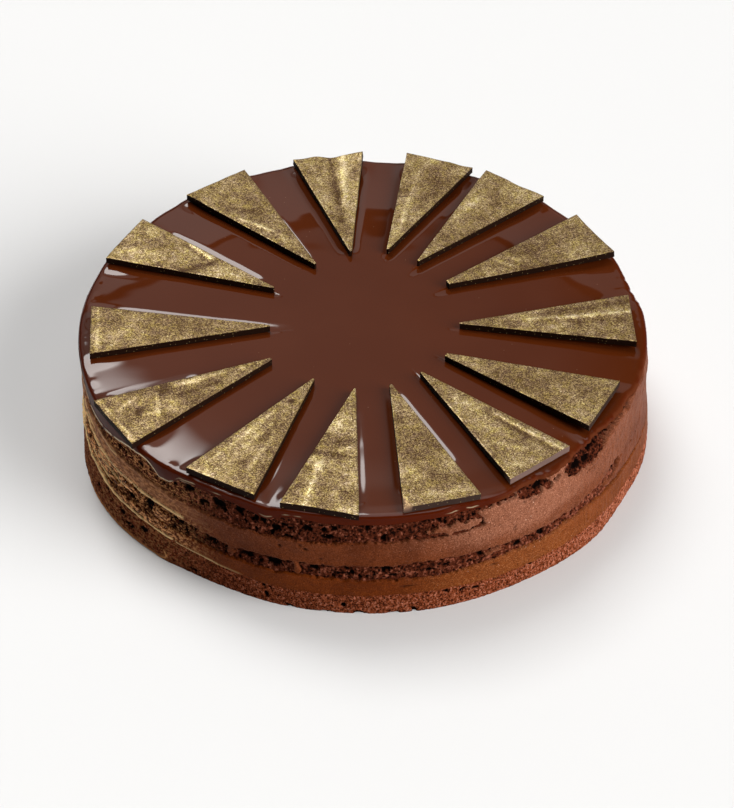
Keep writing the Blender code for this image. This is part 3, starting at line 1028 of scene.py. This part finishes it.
def makeGlaze(material):
    make = glazeMake
    rimIn, rimDeep, crown, crownReach = [make[key] for key in ("rimIn", "rimDeep", "crown", "crownReach")]
    step = make["fineRing"] * fewer
    topRings = [step] * int(make["fineReach"] / step) + make["innerRings"]
    block, angle, share, inward = roundBlock(
        "glaze_pour", make["columns"] // fewer, make["sideRows"] // fewer, make["edgeRings"], topRings
    )
    under, over = share < 0.01, share > 0.99
    flat = onSide(angle, np.full_like(angle, 124.0), np.zeros_like(angle))
    begins, ends = [smooth(*limits, np.degrees(angle) % 360) for limits in make["wiped"]]
    wiped = begins * (1 - ends)
    torn = tornBack(angle) * (1 + wave(flat, glazeWaves["torn"]))
    foot = lipFoot(angle) + wave(flat, glazeWaves["foot"]) + wave(flat, glazeWaves["footFine"])
    foot = np.minimum(foot - humps(angle, make["sags"]) + wiped, glazeTop - 2.3)
    edge = rimRadius(angle)
    pile = make["pile"] * pressedUp(angle)
    # the side: from the foot of the lip up to where the rim begins to round over
    wall = foot + (glazeTop - crown + pile - rimDeep - foot) * share
    above = wall - foot
    bead = 0.25 * hump(above, 0.7, 0.8) * (1 - wiped) - 0.9 * hump(above, 0, 0.30)
    drip = humps(angle, make["drips"]) * np.sin(math.pi * share.clip(0, 1)) ** 0.7
    outer = edge + bead - torn - 0.10 * wiped + drip
    # the top: a quarter of an ellipse, then a low crown
    rounding = np.clip(inward / rimIn, 0, 1)
    fall = crown * (1 - np.clip(inward / crownReach, 0, 1)) ** 2
    fall = fall - pile * (1 - smooth(3, 22, inward)) * np.minimum(1, fall / 0.9)
    topHeight = glazeTop - fall - rimDeep * (1 - np.sqrt(1 - (1 - rounding) ** 2))
    drawnBack = (torn + 0.10 * wiped) * (1 - smooth(4, 16, inward))
    topRadius = edge + 0.02 - inward * edge / blockRadius - drawnBack
    spot = onSide(angle, topRadius, np.zeros_like(angle))
    sway = wave(spot, glazeWaves["skin"]) + wave(spot, glazeWaves["skinFine"])
    lump = (0.10 + humps(angle, make["lumps"])) * wave(flat, glazeWaves["lump"]) * hump(inward, 1.8, 1.8)
    hollow = np.zeros_like(angle)
    inner = over & (inward > 3)
    hollow[inner] = dips(spot[inner][:, :2])
    topHeight = topHeight + sway * smooth(2, 8, inward) + lump - hollow * smooth(3, 9, inward)
    # the underside: the inner wall of the lip, then flat on the sponge
    underHeight = foot + (underGlaze + 0.05 - foot) * smooth(0.8, 2.4, inward)
    underRadius = edge - torn - 0.9 - inward
    height = np.where(under, underHeight, np.where(over, topHeight, wall))
    radius = np.where(under, underRadius, np.where(over, topRadius, outer))
    setPoints(block, onSide(angle, radius, height))

    def fromRim(near, far):
        # 1 on the side, and down to 0 over the top
        return np.where(over, 1 - smooth(near, far, inward), 1.0)

    reach = 0.1 + wave(flat, glazeWaves["smearedIn"]) + humps(angle, make["smearedIn"])
    # painted highlights on the lip: a golden line near its foot at the left, and thin glints higher up
    golden = humps(angle, make["goldenHighlight"])
    line = golden * hump(above, 0.9, 0.30) * smooth(-0.7, -0.1, wave(flat, glazeWaves["golden"]))
    glint = 0.35 * humps(angle, make["glints"]) * hump(above, 1.7, 0.20)
    line = line + glint * smooth(0.0, 0.4, wave(flat, glazeWaves["glints"]))
    done(block, "glaze", material, ["glaze"], {
        "thin": fromRim(0.3, 2.6),
        "smear": wiped * fromRim(reach - 1.2, reach + 1.6),
        "line": np.where(under | over, 0, line).clip(0, 1),
        "lip": fromRim(0.0, 0.8) * (1 - 0.25 * golden),
    })


# the plaques

plaqueLook = {
    "gold": (0.378, 0.275, 0.121),
    "bright": (0.71, 0.60, 0.36),
    "olive": (0.154, 0.096, 0.044),
    "taupe": (0.060, 0.030, 0.0145),
    "yellower": (1.0, 1.02, 0.66),
    "greyer": (0.98, 0.96, 1.22),
    "chocolate": (0.0120, 0.0046, 0.0026),
    # a grey-brown painted sheen, for the outer ends of some plaques
    "paintedEndSheen": (0.170, 0.108, 0.092),
    "scratch": (0.26, 0.15, 0.10),
}
plaqueMake = {
    "cuts": (116, 44),
    "length": 76.0,
    "halfWidth": 16.4,
    "thickness": 3.05,
    "tip": 0.45,            # half width of the tip, where plaqueTips gives no other
    "narrow": 0.2,          # width of the outermost row and column, where the edge is broken
    "broken": 0.12,         # how much lower that edge is
}
plaqueWaves = {
    "side": (0.14, 9.0, 83, 3),
    "end": (0.12, 7.0, 85, 3),
    "bulge": (0.06, 8.0, 89, 1),
    "bulgeFine": (0.02, 2.5, 97, 1),
    "brushed": (0.32, 11.0, 101, 3),
    "brushedFine": (0.16, 3.5, 103, 3),
    "mark": (0.9, 6.0, 113, 1),
}
# what the mould and the brush left on each plaque: lines from one place to another, each place along the
# plaque from the tip (0 to 1) and across it from its clockwise side (-1) to the other (1), then the line's
# half width in mm, and its strength: above 0 it stands up and took more gold, below 0 it is a bare hollow
plaqueMarks = {
    1: [
        (0.57, -0.9, 0.57, 1.0, 2.0, -0.9), (0.47, -0.2, 0.40, 0.6, 1.3, -0.6),
        (0.53, 0.2, 0.47, 0.9, 0.9, 0.8), (0.64, -0.5, 0.98, -0.38, 1.2, 0.9),
        (0.62, -0.8, 0.72, -0.2, 1.0, 0.5), (0.86, 0.3, 0.99, 0.5, 1.6, 0.5),
        (0.70, -0.9, 0.93, -0.8, 1.6, -0.5), (0.18, 0.0, 0.42, -0.5, 1.2, 0.4),
    ],
    2: [
        (0.26, -0.2, 0.38, -0.6, 2.2, -0.5), (0.52, 0.5, 0.60, 0.9, 1.6, -0.4),
        (0.74, -0.9, 0.72, -0.5, 1.0, 0.7), (0.93, -0.7, 0.95, 0.9, 1.4, 0.35),
        (0.55, -0.5, 0.70, 0.3, 2.0, -0.25),
    ],
    3: [
        (0.50, 0.45, 0.97, 0.62, 1.5, -0.8), (0.55, 0.70, 0.99, 0.80, 0.9, 0.9),
        (0.72, -0.5, 0.86, 0.1, 1.0, 0.6), (0.2, 0.0, 0.5, 0.3, 1.6, 0.3),
        (0.90, -0.9, 0.98, 0.1, 1.6, 0.45),
    ],
    4: [(0.10, 0.3, 0.20, -0.4, 1.1, 0.3), (0.35, -0.3, 0.62, 0.5, 4.0, -0.25)],
    5: [
        (0.36, 0.25, 0.66, 0.20, 1.0, 0.9), (0.66, 0.20, 1.0, 0.28, 1.1, 1.1),
        (0.50, 0.62, 1.0, 0.72, 2.0, -0.7), (0.55, -0.10, 0.98, -0.05, 1.4, -0.45),
        (0.70, -0.6, 0.95, -0.5, 1.5, 0.3),
    ],
    6: [
        (0.36, 0.5, 0.42, -0.5, 1.0, 0.8), (0.43, 0.6, 0.47, 0.0, 0.8, 0.7),
        (0.28, 0.2, 0.34, -0.5, 0.9, 0.5), (0.50, 0.5, 0.62, 0.2, 1.8, -0.35),
        (0.10, -0.9, 0.60, -0.95, 0.9, -0.6),
    ],
    7: [
        (0.72, -0.2, 0.86, 0.2, 2.2, -0.6), (0.50, 0.1, 0.58, -0.3, 2.0, -0.35),
        (0.45, 0.6, 0.80, 0.5, 1.6, 0.5), (0.62, 0.8, 0.96, 0.85, 1.0, 0.4),
    ],
    8: [
        (0.30, 0.2, 0.78, 0.45, 1.3, 0.8), (0.55, -0.5, 0.80, -0.75, 3.2, -0.55),
        (0.70, -0.2, 0.97, 0.0, 2.4, -0.35), (0.18, 0.0, 0.30, 0.1, 1.0, 0.4),
    ],
    9: [
        (0.30, 0.1, 0.98, -0.05, 1.5, -0.9), (0.45, -0.35, 0.99, -0.45, 1.8, 1.1),
        (0.26, -0.3, 0.34, 0.6, 2.0, -0.7), (0.50, 0.5, 0.90, 0.6, 1.6, 0.3),
        (0.70, -0.85, 0.99, -0.9, 1.2, -0.4),
    ],
    10: [
        (0.46, 0.3, 0.62, 0.75, 1.0, 0.9), (0.40, 0.1, 0.50, 0.5, 0.9, 0.5),
        (0.62, 0.0, 0.74, 0.55, 2.0, -0.5), (0.72, -0.4, 0.84, -0.1, 1.8, -0.4),
        (0.25, -0.2, 0.36, 0.4, 1.4, 0.3),
    ],
    11: [
        (0.44, -0.2, 0.54, 0.95, 2.1, -1.0), (0.40, -0.95, 0.44, -0.2, 1.5, -0.8),
        (0.46, -0.75, 0.62, -0.95, 1.1, 0.9), (0.66, -0.8, 0.50, -0.5, 1.2, -0.7),
        (0.72, 0.2, 0.95, 0.5, 2.0, 0.35), (0.22, 0.0, 0.38, 0.2, 1.4, 0.3),
    ],
    12: [(0.98, -0.9, 0.98, 0.9, 1.0, 0.7), (0.30, 0.0, 0.62, 0.3, 4.0, -0.25)],
    13: [
        (0.30, -0.6, 0.56, -0.70, 1.2, 1.1), (0.36, 0.2, 0.60, 0.0, 1.5, -0.8),
        (0.18, -0.5, 0.18, -0.2, 0.9, 0.9), (0.84, -0.05, 0.87, 0.1, 1.6, -1.2),
        (0.70, -0.5, 0.78, 0.6, 0.8, 0.6), (0.80, -0.7, 0.96, -0.3, 0.9, 0.6),
        (0.90, 0.1, 0.74, 0.4, 0.9, 0.6), (0.99, -0.9, 0.99, 0.9, 0.7, 0.9),
        (0.62, -0.8, 0.70, -0.3, 1.6, -0.6),
    ],
    14: [
        (0.23, -0.15, 0.235, -0.10, 0.8, -2.2), (0.35, -0.5, 0.58, -0.7, 0.7, 0.8),
        (0.40, -0.3, 0.95, -0.75, 0.8, 0.6), (0.45, 0.0, 0.70, -0.2, 0.8, 0.5),
        (0.55, 0.5, 0.85, 0.45, 0.8, 0.7), (0.50, 0.1, 0.62, 0.3, 1.8, -0.5),
        (0.74, 0.2, 0.84, 0.1, 1.4, -0.5), (0.88, -0.9, 0.99, -0.3, 1.2, 0.5),
    ],
}
# half widths of the tips, and where the outer end of a plaque stands out or in: (place across, mm)
plaqueTips = {1: 0.35, 2: 0.5, 3: 0.4, 4: 1.1, 5: 0.4, 6: 1.3, 9: 0.5, 13: 0.7}
plaqueEnds = {
    1: [(0.9, 1.2), (0.35, 0.5)],
    7: [(-0.2, -0.6)],
    8: [(-0.7, -0.8)],
    9: [(0.35, 1.3), (-0.1, -1.0), (-0.9, 0.6)],
}
chipped = {"plaque": 2, "along": 0.945, "across": -0.80, "depth": 0.8}
# how much more or less gold a plaque took than the others, and how much painted grey sheen its outer end gets
dusting = {
    1: 0.14, 2: -0.04, 5: -0.05, 6: -0.08, 7: 0.07, 8: 0.08, 9: 0.16,
    10: -0.08, 11: 0.08, 12: -0.12, 13: -0.2, 14: -0.07,
}
endSheen = {2: 0.14, 3: 0.75, 4: 0.1}
# how far the outer end of a plaque sank into the soft glaze, in mm
sunk = {1: 0.3, 13: 0.3, 14: 0.3}


def plaqueMaterial():
    desk = materialDesk("goldDust")
    where = desk.place()
    dust = desk.painted("dust")
    fleck = desk.add("ShaderNodeSeparateColor", {}, [desk.cells(where, 0.42, "Color")])
    finer = desk.cells(desk.place(turned=(0.4, 0.7, 0.2)), 0.30, "Color")
    second = desk.add("ShaderNodeSeparateColor", {}, [finer])
    clouds = desk.noise(where, 5.0, 4.0, 0.6)
    hue = desk.noise(desk.place(turned=(0.7, 0.2, 0.5)), 3.2, 5.0, 0.8)
    stray = desk.cells(desk.place(turned=(0.1, 0.3, 0.9)), 1.3)
    amount = fleck * 0.62 + second * 0.42 + (clouds - 0.5) * 0.34 + desk.painted("brush") * 0.44
    gold = desk.coated(
        plaqueLook["taupe"],
        (amount.between(0.16, 0.46), plaqueLook["olive"]),
        (amount.between(0.42, 0.78), plaqueLook["gold"]),
        (amount.between(0.82, 1.06), plaqueLook["bright"]),
    )
    gold = desk.mix(hue.between(0.50, 0.62) * 0.9, gold, plaqueLook["yellower"], "MULTIPLY")
    gold = desk.mix(hue.fading(0.38, 0.50) * 0.9, gold, plaqueLook["greyer"], "MULTIPLY")
    colour = desk.coated(
        plaqueLook["chocolate"],
        (stray.fading(0.10, 0.16) * 0.7, plaqueLook["gold"]),
        # a painted sheen on the outer ends
        (desk.painted("paintedEndSheen"), plaqueLook["paintedEndSheen"]),
        (dust, gold),
        (desk.painted("pale"), plaqueLook["scratch"]),
    )
    return desk.surface(
        Base_Color=colour,
        Roughness=0.52 - dust * 0.14,
        Metallic=dust * amount.between(0.3, 0.8) * 0.8,
        Normal=desk.bump(fleck * 0.5 + second * 0.4 + clouds * 0.3, 0.09, 0.6),
        Specular_IOR_Level=0.03,
    )


def heightTerms(u, v):
    return np.stack([np.ones_like(u), u, u * u, v, u * v, v * v, u * v * v], axis=-1)


def markStrength(number, local):
    # the brush and mould lines of a plaque, at places given as mm along and mm across
    total = np.zeros(len(local))
    length, halfWidth = plaqueMake["length"], plaqueMake["halfWidth"]
    wavy = wave(np.c_[local, np.full(len(local), number * 17.0)], plaqueWaves["mark"])
    for firstAlong, firstAcross, lastAlong, lastAcross, width, strength in plaqueMarks[number]:
        start = np.array([firstAlong * length, firstAcross * halfWidth * firstAlong])
        end = np.array([lastAlong * length, lastAcross * halfWidth * lastAlong])
        away, where = besideEdge(local, start, end)
        line = hump(np.abs(away + wavy * 0.6), 0, width, 1.6)
        total += strength * line * (0.85 + 0.15 * np.cos(where * 9 + number))
    return total


def makePlaque(number, material):
    make = plaqueMake
    tip, clockwise, counter, tree = plaques[number]
    lengthCuts, widthCuts = [cuts // fewer for cuts in make["cuts"]]
    dropSelection()
    bpy.ops.mesh.primitive_grid_add(x_subdivisions=lengthCuts, y_subdivisions=widthCuts, size=1)
    piece = bpy.context.object
    piece.name = f"plaque_{number:02d}_dusted"
    grid = pointsOf(piece) * metre + 0.5
    row, column = np.round(grid[:, 0] * lengthCuts), np.round(grid[:, 1] * widthCuts)
    border = (row == 0) | (row == lengthCuts) | (column == 0) | (column == widthCuts)
    heading = (clockwise + counter) / 2 - tip
    length = np.linalg.norm(heading)
    heading = heading / length
    sideways = leftOf(heading)
    tipHalf = sideways * plaqueTips.get(number, make["tip"])
    # across and along, with the outermost row and column narrow, so that the edge can be broken there
    narrow = make["narrow"]
    along = np.interp(row, [0, 1, lengthCuts - 1, lengthCuts], [0, narrow / length, 1 - narrow / length, 1])
    t = along[:, None]
    oneSide = (tip - tipHalf) * (1 - t) + clockwise * t
    otherSide = (tip + tipHalf) * (1 - t) + counter * t
    step = narrow / np.linalg.norm(otherSide - oneSide, axis=1)
    s = step + (column - 1) / (widthCuts - 2) * (1 - 2 * step)
    s = np.where(column == 0, 0, np.where(column == widthCuts, 1, s))
    across = 2 * s - 1
    spot = oneSide * (1 - s[:, None]) + otherSide * s[:, None]
    centre = (tip + clockwise + counter) / 3
    spot = centre + (spot - centre) * 0.996
    # uneven edges
    wavy = np.c_[spot, np.full(len(spot), number * 31.0)]
    edge = smooth(0.8, 1.0, np.abs(across))
    spot = spot + sideways * (wave(wavy, plaqueWaves["side"]) * edge * along)[:, None]
    outerEnd = wave(wavy, plaqueWaves["end"])
    for place, push in plaqueEnds.get(number, []):
        outerEnd = outerEnd + push * hump(across, place, 0.28)
    spot = spot + heading * (outerEnd * smooth(0.85, 1.0, along))[:, None]
    # height: a smooth surface through the upper face of the CAD solid
    heights = np.full(len(spot), np.nan)
    for index, (x, y) in enumerate(spot):
        hit = tree.ray_cast(Vector((x, y, 80)), Vector((0, 0, -1)))[0]
        if hit:
            heights[index] = hit.z
    local = (spot - tip) @ np.c_[heading, sideways]
    inner = np.isfinite(heights) & (np.abs(across) < 0.9) & (along > 0.03) & (along < 0.97)
    terms = np.linalg.lstsq(heightTerms(*local[inner].T), heights[inner], rcond=None)[0]

    def surfaceAt(local, along):
        return heightTerms(*local.T) @ terms - sunk.get(number, 0.0) * along ** 2

    setPoints(piece, np.c_[spot, surfaceAt(local, along)])
    thick = piece.modifiers.new("thick", "SOLIDIFY")
    thick.thickness, thick.offset = make["thickness"] * metre, -1
    applyModifiers(piece)
    points = pointsOf(piece)
    local = (points[:, :2] - tip) @ np.c_[heading, sideways]
    below = surfaceAt(local, (local[:, 0] / length).clip(0, 1)) - points[:, 2]
    upper = 1 - smooth(0.05, 0.9, below)
    points[:len(border), 2] -= make["broken"] * border
    wavy = points * [1, 1, 0] + [0, 0, number * 31.0]
    marks = markStrength(number, local)
    brushed = wave(wavy, plaqueWaves["brushed"]) + wave(wavy, plaqueWaves["brushedFine"])
    bulge = wave(wavy, plaqueWaves["bulge"]) + wave(wavy, plaqueWaves["bulgeFine"])
    points[:, 2] += upper * (bulge + 0.14 * np.clip(marks, -2, 1.2))
    pale = np.zeros(len(points))
    if number == chipped["plaque"]:
        # a corner that was knocked off along a slanted face
        pastAlong = local[:, 0] / make["length"] - chipped["along"]
        past = pastAlong * 1.4 - (local[:, 1] / make["halfWidth"] - chipped["across"])
        points[:, 2] -= upper * chipped["depth"] * smooth(0.0, 0.22, past)
        pale = 0.55 * smooth(0.02, 0.08, past) * upper
    setPoints(piece, points)
    paintTopFaces(piece, "dust")
    done(piece, "plaque", material, [f"plaque_{number:02d}"], {
        "brush": brushed + marks + dusting.get(number, 0.0),
        # a painted grey sheen on the outer end
        "paintedEndSheen": endSheen.get(number, 0.0) * smooth(0.9, 1.0, local[:, 0] / length),
        "pale": pale,
    })
    workOn(piece)
    bpy.ops.object.shade_smooth_by_angle(angle=math.radians(40))
    dropSelection()


# loose crumbs

# where they stuck to the side: first and last degrees, lowest and highest, how many, and their half widths
crumbPlaces = [
    (197, 242, 12, 32, 110, 0.22, 0.55), (197, 235, 1, 12, 50, 0.25, 0.6),
    (236, 300, 36, 42, 34, 0.2, 0.45), (236, 300, 17, 20, 26, 0.2, 0.42),
    (300, 345, 22, 50, 22, 0.18, 0.38), (300, 330, 7, 12, 14, 0.18, 0.36), (236, 345, 0.6, 2, 26, 0.3, 0.6),
    (0, 190, 2, 46, 90, 0.2, 0.5),
]


def makeCrumbs(material):
    draw = random.Random(29)
    dropSelection()
    # the first one is hidden in the cake, and the others are added to its mesh
    bpy.ops.mesh.primitive_ico_sphere_add(subdivisions=1, radius=0.2 * metre, location=(0, 0, 30 * metre))
    crumbs = bpy.context.object
    crumbs.name = "loose_crumbs"
    bpy.ops.object.transform_apply(location=True, rotation=True, scale=True)
    workOn(crumbs)
    bpy.ops.object.mode_set(mode="EDIT")
    for first, last, low, high, count, smallest, largest in crumbPlaces:
        for number in range(count // fewer):
            angle = math.radians(draw.uniform(first, last))
            height = draw.uniform(low, high)
            size = draw.uniform(smallest, largest)
            reach = float(sideRadius(np.array([angle]), np.array([height]))[0]) + 0.25 * size
            bpy.ops.mesh.primitive_ico_sphere_add(
                subdivisions=1,
                radius=size * metre,
                location=(reach * math.cos(angle) * metre, reach * math.sin(angle) * metre, height * metre),
                rotation=(draw.uniform(0, 3), draw.uniform(0, 3), draw.uniform(0, 3)),
                scale=(1, draw.uniform(0.6, 1), draw.uniform(0.5, 0.9)),
            )
    bpy.ops.object.mode_set(mode="OBJECT")
    points = pointsOf(crumbs)
    points = points + 0.12 * np.stack([softNoise(points, 0.35, seed) for seed in (201, 203, 205)], axis=-1)
    setPoints(crumbs, points)
    done(crumbs, "sponge", material, [], {
        "pit": np.zeros(len(points)),
        "line": np.zeros(len(points)),
        # where golden highlights are painted on the crumbs at the left
        "left": leftShare(angleOf(points)) * 0.5,
        "pale": np.full(len(points), 0.2),
    })


# making it all

fineSponge, darkSponge = spongeMaterial("spongeFine"), spongeMaterial("spongeDark")
makeSponge("sponge_bottom", fineSponge)
makeSponge("sponge_middle", darkSponge)
makeSponge("sponge_top", darkSponge)
makeMousse("mousse_lower", mousseMaterial("mousseWarm", mousseLook["lower"]))
makeMousse("mousse_upper", mousseMaterial("mousseSpread", mousseLook["upper"]))
makeGlaze(glazeMaterial())
makeCrumbs(darkSponge)
goldDust = plaqueMaterial()
for number in plaques:
    makePlaque(number, goldDust)
print("plaques laid")


# the studio

studio = {
    "floorColour": (0.700, 0.705, 0.715),
    "base": 0.03,
    # round lights: azimuth from +Y towards +X, elevation, half angles where it ends and is full, brightness
    "key": (114, 24, 30, 12, 10.5),
    "lights": [(-20, 84, 30, 16, 1.4), (-4, 57, 17, 6, 0.40)],
    "keyMirrored": 0.07,            # how much of the key light a mirror shows
    # the far wall, in the same terms, above and below a dark stripe from one elevation to another
    "wall": (-22, 44, 27, 8, 0.42),
    "lowWall": (2, 29, 17, 10, 0.32),
    "stripe": (36.45, 36.65, 37.0, 37.25),
    # the big soft box at the left: its edges in azimuth and elevation, each from one angle to another
    "boxRight": (-10.5, -6.0),
    "boxLean": 0.35,
    "boxFoot": (39.8, 42.0),
    "boxLeft": (-52, -42),
    "boxHead": (66, 76),
    "boxBrightness": 8.0,
}


def makeFloor():
    dropSelection()
    bpy.ops.mesh.primitive_plane_add(size=8, location=(0, 0, 0))
    floor = bpy.context.object
    floor.name = "studio_floor"
    desk = materialDesk("paleFloor")
    pale = studio["floorColour"]
    colour = desk.mix(desk.noise(desk.place(), 300.0), pale, tuple(part * 0.985 for part in pale))
    floor.data.materials.append(desk.surface(Base_Color=colour, Roughness=0.75, Specular_IOR_Level=0.2))


def makeLight():
    world = bpy.data.worlds.new("softStudio")
    bpy.context.scene.world = world
    desk = Desk(world)
    where = desk.add("ShaderNodeTexCoord", output="Generated")
    across, ahead, apart = [desk.add("ShaderNodeSeparateXYZ", {}, [where], axis) for axis in "XYZ"]

    def lobe(azimuth, elevation, outer, inner, brightness):
        a, e = math.radians(azimuth), math.radians(elevation)
        aim = (math.sin(a) * math.cos(e), math.cos(a) * math.cos(e), math.sin(e))
        facing = desk.add("ShaderNodeVectorMath", {"operation": "DOT_PRODUCT"}, [where, aim], "Value")
        return facing.between(math.cos(math.radians(outer)), math.cos(math.radians(inner))) * brightness

    low, dim, dark, clear = [math.sin(math.radians(height)) for height in studio["stripe"]]
    below = apart.fading(low, dim)
    total = lobe(*studio["wall"]) * (below + apart.between(dark, clear)) + lobe(*studio["lowWall"]) * below
    for light in studio["lights"]:
        total = total + lobe(*light)
    mirrored = desk.add("ShaderNodeLightPath", output="Is Glossy Ray")
    total = total + lobe(*studio["key"]) * (1 - mirrored * (1 - studio["keyMirrored"]))
    azimuth = across.maths("ARCTAN2", across, ahead) * math.degrees(1)
    elevation = apart.maths("ARCSINE", apart) * math.degrees(1)
    leaning = azimuth - (elevation - 44) * studio["boxLean"]
    softBox = leaning.fading(*studio["boxRight"]) * elevation.between(*studio["boxFoot"])
    softBox = softBox * azimuth.between(*studio["boxLeft"]) * elevation.fading(*studio["boxHead"])
    total = total + softBox * studio["boxBrightness"] + studio["base"]
    background = desk.add("ShaderNodeBackground", {}, {"Color": (1.0, 0.985, 0.96, 1.0), "Strength": total})
    desk.add("ShaderNodeOutputWorld", {}, [background])


# the place, tilt and lens that were worked out from the cake's own circle and its plaques
view = {
    "at": (2.3, -965.6, 833.9),
    "roll": 0.92,
    "elevation": 40.77,
    "shift": (3.5, 9.5),            # in pixels of a picture of this width, as is the focal length
    "width": 734,
    "focal": 2856,
    "sensor": 36,
}


def makeCamera():
    camera = bpy.data.cameras.new("camera")
    item = bpy.data.objects.new("camera", camera)
    bpy.context.scene.collection.objects.link(item)
    roll, tilt = math.radians(view["roll"]), math.radians(view["elevation"])
    back = Vector((0, -math.cos(tilt), math.sin(tilt)))
    right = Vector((1, 0, 0))
    up = back.cross(right)
    turnedRight = math.cos(roll) * right + math.sin(roll) * up
    turnedUp = -math.sin(roll) * right + math.cos(roll) * up
    offX, offY = [pixels / view["focal"] for pixels in view["shift"]]
    axis = (turnedUp * offY - turnedRight * offX - back).normalized()
    upward = (turnedUp - axis * turnedUp.dot(axis)).normalized()
    turned = Matrix((axis.cross(upward), upward, -axis)).transposed()
    item.matrix_world = Matrix.Translation(Vector(view["at"]) * metre) @ turned.to_4x4()
    camera.sensor_fit = "HORIZONTAL"
    camera.sensor_width = view["sensor"]
    camera.lens = view["focal"] / view["width"] * view["sensor"]
    camera.clip_start, camera.clip_end = 0.05, 20
    camera.dof.use_dof = False
    bpy.context.scene.camera = item


makeFloor()
makeLight()
makeCamera()
bpy.context.scene.view_settings.view_transform = "Standard"
print("studio ready")
